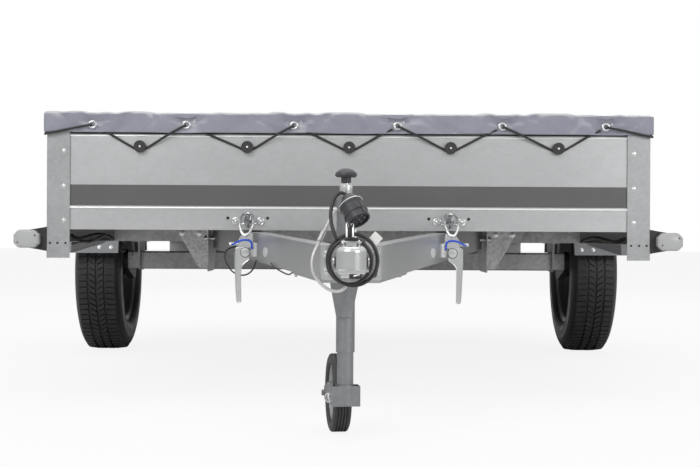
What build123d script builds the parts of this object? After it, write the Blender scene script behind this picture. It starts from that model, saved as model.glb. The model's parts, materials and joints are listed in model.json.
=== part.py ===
from build123d import *
import math
import os

# Utility trailer with a tipping box, a V drawbar, a jockey wheel and a flat cover. Millimetres, +Z up.
# While it is modelled, Y = 0 is the outer face of the front corner posts and the front of the trailer
# points to -Y. Every piece is moved back to the middle of the whole length as it is written.

# Box
box_width = 1500.0
box_length = 2360.0
wall_top = 703.0
wall_bottom = 413.0
floor_top = 470.0
sheet_t = 1.5
wall_fold = 28.0
wall_lip = 12.0
rib_height = 5.0
rib_depth = 1.8
post_t = 2.0
post_width = 57.0
post_depth = 52.0
post_bottom = 342.0
post_hole_r = 3.0
post_hole_z = 379.0
post_hole_x = (8.5, 27.0, 47.0)
wall_hole_x = (-301.0, -202.0, 199.0, 298.0)
wall_hole_z = 443.0
wall_hole_r = 4.0
seat_gap = 0.3
gate_gap = 5.5
gate_latch_z = 560.0
gate_latch_t = 4.0
hinge_pin_r = 4.0
hinge_fit = 0.08
hinge_eye_r = 7.0
hinge_stations = (-480.0, 0.0, 480.0)

# Chassis under the floor
floor_t = 9.0
rail_height = 80.0
rail_width = 35.0
rail_t = 2.5
cross_t = 2.5
front_cross_height = 40.0
front_cross_width = 40.0
front_cross_y = 36.0
cross_width = 35.0
rear_cross_in = 70.0
pad_length = 40.0
pad_width = 30.0

# Axle and wheels
wheel_y = 1400.0
wheel_r = 274.5
wheel_width = 155.0
tread_width = 122.0
tyre_gap = 2.5
rim_r = 175.0
rim_seat_r = 164.0
rim_t = 4.0
rim_width = 118.0
disc_offset = 28.0
hub_r = 52.0
hub_length = 46.0
hub_cap_r = 27.0
hub_cap_length = 30.0
spindle_r = 16.0
spindle_fit = 0.1
axle_side = 60.0
axle_z = 313.0
axle_lead = 130.0
axle_set_in = 88.0
arm_t = 24.0
arm_eye_r = 34.0
stud_r = 6.0
stud_circle_r = 50.0
stud_count = 4
groove_width = 7.0
groove_depth = 7.0
groove_pitch = 27.0
guard_gap = 62.0
guard_t = 1.5
guard_width = 196.0
guard_low_angle = 11.0
guard_flange = 14.0
bracket_t = 5.0
bracket_width = 110.0

# Drawbar
draw_front_y = -736.0
draw_front_x = 41.0
draw_rear_y = 586.0
draw_rear_x = 373.0
draw_height = 68.0
draw_width = 38.0
draw_t = 3.0
draw_front_z = 315.0
draw_slope = 2.0
pivot_y = 560.0
pivot_r = 6.0
pivot_fit = 0.1
hanger_t = 4.0
hanger_y = 600.0
hanger_front_y = 524.0
hanger_length = 255.0
hanger_drop = 166.0
hanger_wing = 92.0
nose_t = 5.0
nose_rear_y = -470.0

# Coupling
ball_y = -838.0
ball_z = 352.0
ball_r = 25.0
ball_fit = 0.5
head_r = 29.0
head_height = 44.0
head_fillet = 11.0
head_rear_y = -742.0
flange_half = 58.0
lip_t = 5.0
lip_out = 4.0
grip_width = 20.0
grip_t = 7.0
grip_height = 31.0
grip_reach = 62.0
grip_slot = 7.0

# Jockey wheel jack
jack_x = -10.0
jack_y = -690.0
jack_r = 18.5
jack_wall = 2.0
jack_bottom = 172.0
jack_top = 484.0
leg_r = 16.2
leg_wall = 3.0
leg_top = 300.0
leg_bottom = 66.0
boss_r = 12.5
boss_top = 500.0
stem_r = 6.0
stem_top = 506.0
collar_r = 10.0
collar_h = 11.0
knob_r = 22.5
knob_h = 17.0
knob_top = 534.0
caster_r = 80.0
caster_width = 38.0
caster_trail = 104.0
caster_turn = 7.5
caster_hub_r = 22.0
caster_pin_r = 6.0
fork_t = 3.0
fork_gap = 6.0
jack_hood_top = 309.2
gusset_t = 4.0
gusset_lines = [
    (0.0, (-31.0, -10.0), (8.5, -45.0), (26.0, -17.0)),
    (67.0, (-18.4, -12.0), (-7.7, -27.5), (12.2, -21.0)),
]

# Tipping latches
latch_x = 250.0
latch_y = -92.0
latch_z = 359.0
latch_width = 34.0
latch_t = 3.0
latch_foot = 40.0
latch_rise = 45.0
pin_r = 4.0
lever_r = 11.0
lever_t = 6.0
lever_length = 120.0
lever_width = 11.0
loop_width = 29.0
loop_r = 2.0
catch_z = 440.0
catch_width = 76.0
catch_t = 2.5
catch_x = 250.0

# Lamps
lamp_width = 62.0
lamp_height = 43.0
lamp_depth = 28.0
lamp_gap = 14.0
lamp_z = 389.0
lamp_corner = 11.0
lamp_chamfer = 4.0
outrigger_t = 2.0
outrigger_height = 60.0
tail_bar_z = 372.0
tail_bar_height = 90.0
tail_bar_t = 2.0
tail_bar_fold = 25.0
tail_strap_x = 600.0
tail_lamp_width = 210.0
tail_lamp_height = 80.0
tail_lamp_depth = 42.0

# Cover and its lacing
cover_overhang = 8.0
cover_t = 3.0
cover_top = 707.5
cover_hem = 654.0
button_r = 15.0
button_h = 14.0
button_z = 619.0
button_stem = 8.0
stem_in_button = 6.0
eyelet_z = 673.0
eyelet_hole_r = 5.0
eyelet_x = (-636.0, -404.0, -137.0, 119.5, 380.0, 637.0)
button_x = (-519.0, -253.0, 0.0, 252.0, 520.0)
side_eyelets = 9
side_eyelet_start = 130.0
side_pitch = 262.0
cover_flap = 24.0
cord_r = 3.0

# Free cords: the coiled lead with its plug, and the breakaway cable
lead_r = 3.5
coil_r = 46.0
coil_bundle_r = 6.5
coil_y = -803.0
coil_z = 354.5
plug_r = 24.0
plug_length = 60.0
plug_tilt = 28.0
plug_x = 5.0
plug_y = -778.0
plug_z = 448.0
lead_route = [
    (-9.2, -778.0, 474.9),
    (-13.0, -778.0, 483.0),
    (-24.0, -778.0, 484.0),
    (-33.0, -780.0, 473.0),
    (-38.0, -784.0, 457.0),
    (-40.0, -789.0, 440.0),
    (-38.0, -795.0, 423.0),
    (-33.0, -801.0, 407.0),
    (-27.0, -803.0, 392.0),
]
lead_entry = [
    (46.0, -742.4, 324.0),
    (46.0, -762.0, 324.0),
    (46.8, -780.0, 328.0),
    (47.2, -793.0, 335.0),
    (46.0, -801.0, 344.0),
    (45.4, -803.0, 351.0),
]
safety_r = 3.2
safety_route = [
    (-28.4, -700.6, 452.0),
    (-34.0, -712.0, 448.0),
    (-42.0, -730.0, 432.0),
    (-52.0, -748.0, 410.0),
    (-62.0, -762.0, 388.0),
    (-72.0, -770.0, 368.0),
    (-76.0, -774.0, 347.0),
    (-71.0, -776.0, 326.0),
    (-58.0, -778.0, 309.0),
    (-41.0, -779.0, 297.0),
    (-23.0, -780.0, 294.0),
    (-9.0, -780.0, 303.0),
    (-5.0, -779.0, 318.0),
    (-5.0, -779.0, 333.7),
]
ferrule_r = 5.5
ferrule_length = 22.0
harness_r = 1.9
harness_route = [
    (-255.4, 30.0, 372.0),
    (-263.0, 18.0, 373.0),
    (-285.0, -5.0, 372.0),
    (-302.0, -25.0, 364.0),
    (-305.0, -45.0, 348.0),
    (-297.0, -60.0, 328.0),
    (-283.0, -70.0, 311.0),
    (-266.0, -76.0, 303.0),
    (-248.0, -83.0, 304.0),
    (-234.0, -91.0, 314.0),
    (-226.0, -98.0, 328.0),
    (-222.6, -102.0, 341.0),
]
pin_cord_r = 2.2

floor_z = 0.0
half = box_width / 2
front_face_y = post_t + rib_depth + seat_gap
side_face_x = half - post_t - rib_depth - seat_gap
rail_top = floor_top - floor_t
rail_bottom = rail_top - rail_height
rail_out_x = side_face_x - wall_fold - seat_gap
rear_y = box_length
rear_cross_y = rear_y - rear_cross_in
track = box_width + wheel_width + 2 * tyre_gap
axle_half = track / 2 - axle_set_in
lamp_out_x = half + lamp_gap + lamp_width
nose_y = ball_y - head_r - lip_out
bar_y = rear_y - 20
tail_y = bar_y + tail_bar_t + seat_gap + tail_lamp_depth
y_middle = (nose_y + tail_y) / 2
slope = math.tan(math.radians(draw_slope))
gate_axis_y = rear_y - front_face_y - hinge_eye_r - 1
gate_axis_z = wall_bottom - hinge_eye_r - 1
plan = math.atan2(draw_rear_x - draw_front_x, draw_rear_y - draw_front_y)


def box(x0, x1, y0, y1, z0, z1):
    return Pos((x0 + x1) / 2, (y0 + y1) / 2, (z0 + z1) / 2) * Box(x1 - x0, y1 - y0, z1 - z0)


def face_of(points):
    return make_face(Polyline(*points, close=True))


def prism_x(points, x0, x1):
    """A prism along X from an outline of (y, z) points."""
    return Pos(x0, 0, 0) * extrude(Plane.YZ * face_of(points), x1 - x0)


def prism_y(points, y0, y1):
    """A prism along Y from an outline of (x, z) points."""
    flat = face_of([(x, -z) for x, z in points])
    return Pos(0, y0, 0) * extrude(Rot(-90, 0, 0) * flat, y1 - y0, dir=(0, 1, 0))


def prism_z(points, z0, z1):
    """A prism along Z from an outline of (x, y) points."""
    return Pos(0, 0, z0) * extrude(face_of(points), z1 - z0)


def sheet_outline(points, thick):
    """The outline of a folded sheet: the given outer line, and the same line moved to its right by thick."""
    inner = []
    last = len(points) - 1
    for n, (px, py) in enumerate(points):
        before = points[max(n - 1, 0)]
        after = points[min(n + 1, last)]
        normals = []
        for a, b in ((before, (px, py)), ((px, py), after)):
            length = math.dist(a, b)
            if length > 0:
                normals.append(((b[1] - a[1]) / length, -(b[0] - a[0]) / length))
        nx = sum(v[0] for v in normals)
        ny = sum(v[1] for v in normals)
        scale = 2 * thick / (nx * nx + ny * ny) if len(normals) == 2 else thick
        inner.append((px + nx * scale, py + ny * scale))
    return list(points) + inner[::-1]


def rod(start, end, radius):
    a, b = Vector(*start), Vector(*end)
    return Plane(origin=a, z_dir=b - a) * Cylinder(
        radius, (b - a).length, align=(Align.CENTER, Align.CENTER, Align.MIN)
    )


def tube(start, end, outer, wall):
    a, b = Vector(*start), Vector(*end)
    along = (b - a).normalized()
    bore = rod(tuple(a - along), tuple(b + along), outer - wall)
    return rod(start, end, outer) - bore


def mirrored(shape):
    return mirror(shape, Plane.YZ)


def both_sides(shape):
    return [shape, mirrored(shape)]


def wall_outline(face, top, bottom):
    """Folded wall sheet, outer face at `face`, inside towards positive: top fold, rib over the floor, foot."""
    rib = floor_top
    inside = face + wall_fold
    line = [
        (inside, bottom + wall_lip),
        (inside, bottom),
        (face, bottom),
        (face, rib - rib_height),
        (face - rib_depth, rib - rib_height / 2),
        (face, rib),
        (face, top),
        (inside, top),
        (inside, top - wall_lip),
    ]
    return sheet_outline(line, sheet_t)


parts = {}


def add(name, *shapes):
    parts[name] = list(shapes)


def front_wall():
    panel = prism_x(wall_outline(front_face_y, wall_top - 1, wall_bottom), -side_face_x + 35, side_face_x - 35)
    for x in wall_hole_x:
        panel -= rod((x, -20, wall_hole_z), (x, 20, wall_hole_z), wall_hole_r)
    add("front_panel", panel)


def side_walls():
    for name, sign in (("left", -1), ("right", 1)):
        outline = [(v - side_face_x, z) for v, z in wall_outline(0, wall_top - 1, wall_bottom)]
        panel = prism_y(outline, 35, rear_y - 35)
        add("side_panel_" + name, panel if sign < 0 else mirrored(panel))


def corner_posts():
    for end, low in (("front", post_bottom), ("rear", wall_bottom)):
        line = [(-half + post_width, 0), (-half, 0), (-half, post_depth)]
        post = prism_z(sheet_outline(line, post_t), low, wall_top)
        corner = post.edges().filter_by(Axis.Z).sort_by(lambda e: abs(e.center().X + half) + abs(e.center().Y))[0]
        post = fillet(corner, post_t - 0.2)
        if end == "front":
            for x in post_hole_x:
                post -= rod((-half + x, -5, post_hole_z), (-half + x, 5, post_hole_z), post_hole_r)
        else:
            post = Pos(0, rear_y, 0) * mirror(post, Plane.XZ)
        add("corner_posts_" + end, *both_sides(post))


def floor_board():
    inner_x = side_face_x - sheet_t - seat_gap
    front = front_face_y + sheet_t + seat_gap
    rear = rear_y - front_face_y - sheet_t - gate_gap
    board = box(-inner_x, inner_x, front, rear, rail_top + seat_gap, floor_top)
    notch = post_width
    for x in (-1, 1):
        for y in (front, rear):
            board -= Pos(x * inner_x, y, floor_top) * Box(notch, notch, 60)
    add("floor_board", board)


def chassis():
    rail_in_x = rail_out_x - rail_width
    line = [(rail_in_x, rail_top), (rail_out_x, rail_top), (rail_out_x, rail_bottom), (rail_in_x, rail_bottom)]
    rail = prism_y(sheet_outline(line, rail_t), front_cross_y, rear_cross_y + cross_width)
    add("side_rails", *both_sides(rail))
    front = prism_x(
        sheet_outline(
            [
                (front_cross_y + front_cross_width, rail_top),
                (front_cross_y, rail_top),
                (front_cross_y, rail_top - front_cross_height),
                (front_cross_y + front_cross_width, rail_top - front_cross_height),
            ][::-1],
            cross_t,
        ),
        -rail_in_x,
        rail_in_x,
    )
    members = [front]
    for y in (hanger_y + hanger_t, wheel_y - axle_lead, rear_cross_y):
        line = [(y + cross_width, rail_top), (y, rail_top), (y, rail_bottom), (y + cross_width, rail_bottom)]
        members.append(prism_x(sheet_outline(line[::-1], cross_t), -rail_in_x, rail_in_x))
    add("cross_members", *members)
    pads = []
    y = front_cross_y + 5
    arm_x = draw_front_x + (y + pad_width / 2 - draw_front_y) * math.tan(plan)
    top = draw_front_z + draw_height + (y + pad_width - draw_front_y) * slope
    for x in (-arm_x, arm_x):
        pads.append(box(x - pad_length / 2, x + pad_length / 2, y, y + pad_width, top + seat_gap + 0.6,
                        rail_top - front_cross_height))
    add("rest_pads", *pads)


def hangers():
    x = draw_rear_x + draw_width / 2 + 8
    low = rail_top - hanger_drop
    y0, y1 = hanger_front_y, hanger_front_y + hanger_length
    back = hanger_y + hanger_t
    wing = [
        (x, rail_top - 4),
        (x + hanger_wing, rail_top - 4),
        (x + hanger_wing, rail_bottom + 20),
        (x + 34, low + 8),
        (x, low + 8),
    ]
    cheek = [
        (y0, rail_top - 4),
        (back - seat_gap, rail_top - 4),
        (back - seat_gap, rail_bottom - seat_gap),
        (y1, rail_bottom - seat_gap),
        (y1, low + 70),
        (y1 - 70, low),
        (y0 + 20, low),
        (y0, low + 20),
    ]
    shape = prism_y(wing, hanger_y, back - seat_gap) + prism_x(cheek, x, x + hanger_t)
    shape -= rod((x - 5, pivot_y, pivot_z), (x + 10, pivot_y, pivot_z), pivot_r + pivot_fit)
    add("drawbar_hangers", *both_sides(shape))


pivot_z = draw_front_z + draw_height / 2 + (pivot_y - draw_front_y) * slope - 4


def pivot_bolts():
    inner = draw_rear_x - draw_width / 2 - 20
    outer = draw_rear_x + draw_width / 2 + 8 + hanger_t
    bolt = rod((inner, pivot_y, pivot_z), (outer + 12, pivot_y, pivot_z), pivot_r)
    bolt += rod((outer + seat_gap, pivot_y, pivot_z), (outer + 8, pivot_y, pivot_z), 9.5)
    add("pivot_bolts", *both_sides(bolt))


def axle():
    y = wheel_y - axle_lead
    a = axle_side / 2
    beam = box(-axle_half, axle_half, y - a, y + a, axle_z - a, axle_z + a)
    beam = fillet(beam.edges().filter_by(Axis.X), 6)
    inner = box(-axle_half - 5, axle_half + 5, y - a + 4, y + a - 4, axle_z - a + 4, axle_z + a - 4)
    add("axle_beam", beam - inner)
    x = rail_out_x - rail_width / 2
    w = bracket_width / 2
    cheek = prism_x(
        [
            (y - w - 20, rail_bottom - seat_gap),
            (y + w + 20, rail_bottom - seat_gap),
            (y + a + 14, axle_z - a + 6),
            (y + a + 6, axle_z - a - 4),
            (y - a - 6, axle_z - a - 4),
            (y - a - 14, axle_z - a + 6),
        ],
        x - bracket_t / 2,
        x + bracket_t / 2,
    )
    hole = a + seat_gap
    cheek -= box(x - 10, x + 10, y - hole, y + hole, axle_z - hole, axle_z + hole)
    foot = box(x - 16, x + 16, y - w - 20, y + w + 20, rail_bottom - 6, rail_bottom - seat_gap)
    add("axle_brackets", *both_sides(cheek + foot))


def swing_arms():
    y = wheel_y - axle_lead
    x0 = axle_half + seat_gap
    x1 = x0 + arm_t
    for name, sign in (("left", -1), ("right", 1)):
        eye = rod((x0, y, axle_z), (x1, y, axle_z), arm_eye_r)
        end = rod((x0, wheel_y, wheel_r), (x1, wheel_y, wheel_r), arm_eye_r - 6)
        dy, dz = wheel_y - y, wheel_r - axle_z
        reach = math.hypot(dy, dz)
        ny, nz = -dz / reach, dy / reach
        web = prism_x(
            [
                (y + ny * arm_eye_r, axle_z + nz * arm_eye_r),
                (wheel_y + ny * (arm_eye_r - 6), wheel_r + nz * (arm_eye_r - 6)),
                (wheel_y - ny * (arm_eye_r - 6), wheel_r - nz * (arm_eye_r - 6)),
                (y - ny * arm_eye_r, axle_z - nz * arm_eye_r),
            ],
            x0,
            x1,
        )
        spindle = rod((x1 - 1, wheel_y, wheel_r), (track / 2 + disc_offset + 8, wheel_y, wheel_r), spindle_r)
        shape = eye + end + web + spindle
        add("swing_arm_" + name, shape if sign > 0 else mirrored(shape))


def spun(points, x, y, z):
    """A solid of revolution about an axis along X, from (radius, offset) points, centred at x, y, z."""
    flat = face_of([(o, r) for r, o in points])
    return Pos(x, y, z) * revolve(flat, Axis.X, 360)


def wheels():
    half_w = wheel_width / 2
    half_t = tread_width / 2
    half_rim = rim_width / 2
    side = [
        (rim_seat_r + 0.4, half_rim - 7),
        (rim_r + 1, half_rim - 0.6),
        (rim_r + 18, half_w - 4),
        (rim_r + 42, half_w),
        (wheel_r - 30, half_w - 3),
        (wheel_r - 7, half_t + 3),
        (wheel_r - 1.5, half_t - 4),
    ]
    grooves = []
    for centre in (groove_pitch, 0, -groove_pitch):
        grooves += [
            (wheel_r, centre + groove_width / 2),
            (wheel_r - groove_depth, centre + groove_width / 2 - 1),
            (wheel_r - groove_depth, centre - groove_width / 2 + 1),
            (wheel_r, centre - groove_width / 2),
        ]
    outline = side + grooves + [(r, -o) for r, o in side[::-1]]
    outline += [(rim_seat_r + 0.4, 0)]
    rim_line = [
        (rim_r, half_rim),
        (rim_seat_r, half_rim - 6),
        (rim_seat_r - 4, half_rim - 26),
        (rim_seat_r - 14, half_rim - 40),
        (rim_seat_r - 14, -half_rim + 36),
        (rim_seat_r - 4, -half_rim + 22),
        (rim_seat_r, -half_rim + 6),
        (rim_r, -half_rim),
    ]
    barrel = sheet_outline(rim_line, rim_t)
    disc_x = disc_offset
    disc_line = [
        (rim_seat_r - 14 - rim_t + 1, disc_x - 14),
        (rim_seat_r - 30, disc_x - 8),
        (120, disc_x + 8),
        (96, disc_x + 10),
        (78, disc_x),
        (34, disc_x),
    ]
    disc = sheet_outline(disc_line, rim_t)
    for name, sign in (("left", -1), ("right", 1)):
        x = track / 2
        tyre = spun(outline, x, wheel_y, wheel_r)
        rim = spun(barrel, x, wheel_y, wheel_r) + spun(disc, x, wheel_y, wheel_r)
        for n in range(8):
            angle = math.radians(n * 45 + 22.5)
            cy = wheel_y + 106 * math.cos(angle)
            cz = wheel_r + 106 * math.sin(angle)
            rim -= rod((x + disc_x - 30, cy, cz), (x + disc_x + 40, cy, cz), 11)
        hub_back = x + disc_x - rim_t - seat_gap
        hub = rod((hub_back - hub_length, wheel_y, wheel_r), (hub_back, wheel_y, wheel_r), hub_r + 14)
        hub += rod((hub_back, wheel_y, wheel_r), (hub_back + hub_cap_length, wheel_y, wheel_r), hub_cap_r)
        hub -= rod((hub_back - hub_length - 1, wheel_y, wheel_r),
                   (x + disc_x + 9, wheel_y, wheel_r), spindle_r + spindle_fit)
        for n in range(stud_count):
            angle = math.radians(n * 360 / stud_count + 45)
            cy = wheel_y + stud_circle_r * math.cos(angle)
            cz = wheel_r + stud_circle_r * math.sin(angle)
            rim -= rod((x + disc_x - 10, cy, cz), (x + disc_x + 10, cy, cz), stud_r + 0.5)
            hub += rod((hub_back - 1, cy, cz), (x + disc_x + 14, cy, cz), stud_r)
        for piece, shape in (("tyre", tyre), ("rim", rim), ("hub", hub)):
            add(f"{piece}_{name}", shape if sign > 0 else mirrored(shape))


def mudguards():
    radius = wheel_r + guard_gap
    low = math.radians(guard_low_angle)
    x0 = side_face_x + rib_depth + seat_gap
    x1 = x0 + guard_width
    for name, sign in (("left", -1), ("right", 1)):
        ring = rod((x0, wheel_y, wheel_r), (x1, wheel_y, wheel_r), radius + guard_t)
        bore = rod((x0 - 1, wheel_y, wheel_r), (x1 + 1, wheel_y, wheel_r), radius)
        cut_z = wheel_r + radius * math.sin(low)
        shell = ring - bore - box(x0 - 5, x1 + 5, wheel_y - 600, wheel_y + 600, wheel_r - 600, cut_z)
        lip = rod((x1 - guard_t, wheel_y, wheel_r), (x1, wheel_y, wheel_r), radius + 0.5)
        lip -= rod((x1 - 9, wheel_y, wheel_r), (x1 + 1, wheel_y, wheel_r), radius - guard_flange)
        lip -= box(x0 - 5, x1 + 5, wheel_y - 600, wheel_y + 600, wheel_r - 600, cut_z)
        inner = rod((x0, wheel_y, wheel_r), (x0 + guard_t, wheel_y, wheel_r), radius + 0.5)
        inner -= rod((x0 - 1, wheel_y, wheel_r), (x0 + 9, wheel_y, wheel_r), radius - guard_flange)
        inner -= box(x0 - 5, x1 + 5, wheel_y - 600, wheel_y + 600, wheel_r - 600, cut_z)
        shape = shell + lip + inner
        add("mudguard_" + name, shape if sign > 0 else mirrored(shape))


def drawbar():
    length = (draw_rear_y - draw_front_y) / math.cos(plan)
    for name, sign in (("left", -1), ("right", 1)):
        direction = Vector(
            math.sin(plan), math.cos(plan), slope * math.cos(plan)
        ).normalized()
        across = Vector(math.cos(plan), -math.sin(plan), 0)
        start = Vector(draw_front_x, draw_front_y, draw_front_z + draw_height / 2)
        w, h = draw_width / 2, draw_height / 2
        line = [(-w, h), (w, h), (w, -h), (-w, -h)]
        section = face_of(sheet_outline(line, draw_t))
        plane = Plane(origin=start - direction * 90, x_dir=across, z_dir=direction * -1)
        arm = extrude(plane * section, -(length + 120))
        keep = box(6, 600, draw_front_y, draw_rear_y, 0, 700)
        arm = arm & keep
        hole_x = draw_rear_x
        arm -= rod((hole_x - 90, pivot_y, pivot_z), (hole_x + 60, pivot_y, pivot_z), pivot_r + pivot_fit)
        add("drawbar_arm_" + name, arm if sign > 0 else mirrored(arm))


def arm_x_at(y):
    return draw_front_x + (y - draw_front_y) * math.tan(plan)


def arm_z_at(y):
    return draw_front_z + (y - draw_front_y) * slope


def nose():
    """The gusset under the front of the two arms, with the hole that the jack stands in."""
    y0, y1 = draw_front_y, nose_rear_y
    x0, x1 = arm_face_x(y0) - 6, arm_face_x(y1) - 6
    plane = Plane(
        origin=(0, y0, draw_front_z - seat_gap),
        x_dir=(1, 0, 0),
        z_dir=(0, -math.sin(math.radians(draw_slope)), math.cos(math.radians(draw_slope))),
    )
    run = (y1 - y0) / math.cos(math.radians(draw_slope))
    flat = face_of([(-x0, 0), (x0, 0), (x1, run), (x1 - 36, run), (x0 * 0.5, run * 0.45), (-x0 * 0.5, run * 0.45),
                    (-x1 + 36, run), (-x1, run)])
    plate = extrude(plane * flat, -nose_t)
    hole = rod((jack_x, jack_y, 0), (jack_x, jack_y, 600), jack_r + seat_gap)
    add("drawbar_nose_plate", plate - hole)


def coupling():
    z0 = ball_z - 14
    outline = make_face(
        Polyline((-head_r, ball_y), (-head_r * 0.82, head_rear_y), (head_r * 0.82, head_rear_y), (head_r, ball_y))
        + ThreePointArc((head_r, ball_y), (0, ball_y - head_r), (-head_r, ball_y))
    )
    body = Pos(0, 0, z0) * extrude(outline, head_height)
    top = body.faces().sort_by(Axis.Z)[-1]
    body = fillet(top.edges(), head_fillet)
    lip = Pos(0, 0, z0 - lip_t + 1) * extrude(offset(outline, lip_out), lip_t)
    body += lip
    body += box(-flange_half, flange_half, head_rear_y, draw_front_y - seat_gap, draw_front_z, draw_front_z + draw_height)
    socket = Pos(0, ball_y, ball_z) * Sphere(ball_r + ball_fit)
    mouth = rod((0, ball_y, z0 - 20), (0, ball_y, ball_z), ball_r + ball_fit)
    body -= socket
    body -= mouth
    add("coupling_head", body)
    hinge_y = ball_y + 34
    z = z0 + head_height + seat_gap
    grip = prism_x(
        [
            (hinge_y - 20, z),
            (hinge_y + 22, z),
            (hinge_y + grip_reach, z + grip_height - 8),
            (hinge_y + grip_reach - 8, z + grip_height),
            (hinge_y + grip_reach - 16, z + grip_height - 2),
            (hinge_y + 8, z + grip_t + 4),
            (hinge_y - 20, z + grip_t),
        ],
        -grip_width / 2,
        grip_width / 2,
    )
    grip -= box(-grip_slot / 2, grip_slot / 2, hinge_y + 16, hinge_y + grip_reach - 9, z - 1, z + grip_height + 1)
    add("coupling_handle", grip)


def jack():
    outer = tube((jack_x, jack_y, jack_bottom), (jack_x, jack_y, jack_top), jack_r, jack_wall)
    cap = rod((jack_x, jack_y, jack_top - 4), (jack_x, jack_y, jack_top), jack_r - 0.5)
    add("jack_outer_tube", outer + cap)
    stem = rod((jack_x, jack_y, jack_top + seat_gap), (jack_x, jack_y, boss_top), boss_r)
    stem += rod((jack_x, jack_y, boss_top), (jack_x, jack_y, stem_top), stem_r)
    stem += rod((jack_x, jack_y, stem_top), (jack_x, jack_y, stem_top + collar_h), collar_r)
    dome = face_of([(0, 0), (knob_r - 3, 0), (knob_r, 4), (knob_r - 2, 9), (knob_r - 8, knob_h - 3), (8, knob_h),
                    (0, knob_h)])
    knob = Pos(jack_x, jack_y, knob_top - knob_h) * revolve(Plane.XZ * dome, Axis.Z, 360)
    add("jack_crank", stem + knob)
    sections = []
    for z, left, ridge, right in gusset_lines:
        back = [(right[0] - 3, right[1] + 3), (ridge[0] - 1, ridge[1] + gusset_t + 1), (left[0] + 1, left[1] + gusset_t)]
        sections.append(Pos(jack_x, jack_y, jack_hood_top - z) * face_of([left, ridge, right] + back))
    add("jack_bracket", loft(sections, ruled=True))
    leg = tube((jack_x, jack_y, leg_bottom + 42), (jack_x, jack_y, leg_top), leg_r, leg_wall)
    add("jack_inner_tube", leg)


def caster():
    """The jockey wheel and its fork, modelled straight behind the jack tube and then turned with the swivel."""
    turn = Pos(jack_x, jack_y, 0) * Rot(0, 0, caster_turn)
    gap = caster_width / 2 + fork_gap
    post = rod((0, 0, leg_bottom), (0, 0, leg_bottom + 41.5), leg_r)
    fork = post
    for x in (-gap - fork_t, gap):
        fork += prism_x(
            [
                (-18, caster_r - 14),
                (-18, caster_r + 26),
                (18, caster_r + 26),
                (caster_trail + 8, caster_r + 14),
                (caster_trail + 16, caster_r),
                (caster_trail + 8, caster_r - 12),
                (0, caster_r - 14),
            ],
            x,
            x + fork_t,
        )
    fork += box(-gap - fork_t, gap + fork_t, -18, -18 + fork_t, caster_r - 14, caster_r + 26)
    pin = rod((-gap - fork_t - 6, caster_trail, caster_r), (gap + fork_t + 6, caster_trail, caster_r), caster_pin_r)
    fork += pin
    add("jockey_fork", turn * fork)
    tyre = spun(
        [
            (caster_pin_r + 0.2, caster_width / 2 + 4),
            (caster_hub_r, caster_width / 2 + 4),
            (caster_hub_r + 4, caster_width / 2 - 6),
            (caster_r - 22, caster_width / 2 - 6),
            (caster_r - 18, caster_width / 2),
            (caster_r - 6, caster_width / 2),
            (caster_r, caster_width / 2 - 7),
            (caster_r, -caster_width / 2 + 7),
            (caster_r - 6, -caster_width / 2),
            (caster_r - 18, -caster_width / 2),
            (caster_r - 22, -caster_width / 2 + 6),
            (caster_hub_r + 4, -caster_width / 2 + 6),
            (caster_hub_r, -caster_width / 2 - 4),
            (caster_pin_r + 0.2, -caster_width / 2 - 4),
        ],
        0,
        caster_trail,
        caster_r,
    )
    add("jockey_wheel", turn * tyre)


def arm_face_x(y):
    """The outer face of the right drawbar arm at a station along the trailer."""
    return arm_x_at(y) + draw_width / 2 / math.cos(plan)


def latches():
    """An over-centre latch: folded housing on the arm, round pivot, hanging lever and its safety pin."""
    x, y, z = latch_x, latch_y, latch_z
    w = latch_width / 2
    top = z + latch_rise
    face = [(x + w, z + 12), (x + w, z + 26), (x + w - 7, top - 6), (x + w - 16, top - 1), (x - w, top), (x - w, z + 12)]
    housing = prism_y(face, y, y + latch_t)
    for cheek_x in (x - w, x + w - latch_t):
        housing += box(cheek_x, cheek_x + latch_t, y, y + latch_foot - 8, z - 10, z + 26)
    back = prism_z(
        [
            (arm_face_x(y) + seat_gap, y),
            (arm_face_x(y) + seat_gap + latch_t, y),
            (x - w + latch_t, y + 2),
            (x - w + latch_t, y + 12),
            (arm_face_x(y + latch_foot) + seat_gap + latch_t, y + latch_foot),
            (arm_face_x(y + latch_foot) + seat_gap, y + latch_foot),
        ],
        z - 10,
        z + 24,
    )
    housing += back
    outline = make_face(
        Polyline((x - 9, z - 16), (x - 9, z + lever_r), (x + 20, z + lever_r + 1), (x + 24, z - 2), (x + 24, z - 30),
                 (x + 20, z - lever_length), (x + 20 - lever_width, z - lever_length), (x + 11, z - 34))
        + ThreePointArc((x + 11, z - 34), (x + 2, z - 28), (x - 9, z - 16))
    )
    flat = Pos(0, y - 1, 0) * (Rot(90, 0, 0) * outline)
    lever = extrude(flat, lever_t, dir=(0, -1, 0))
    lever += rod((x, y - 1 - lever_t, z), (x, y - 1 - lever_t - 3, z), lever_r)
    lever += rod((x, y - 2, z), (x, y + 14, z), 5)
    pin = rod((x + w - 6, y + 16, z + 20), (x + w + 22, y + 16, z + 20), pin_r)
    shape = housing + lever + pin
    shape += rod((x - w + 1, y + 8, z), (x + w - 1, y + 8, z), 4)
    add("tipping_latch_left", mirrored(shape))
    add("tipping_latch_right", shape)


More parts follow.
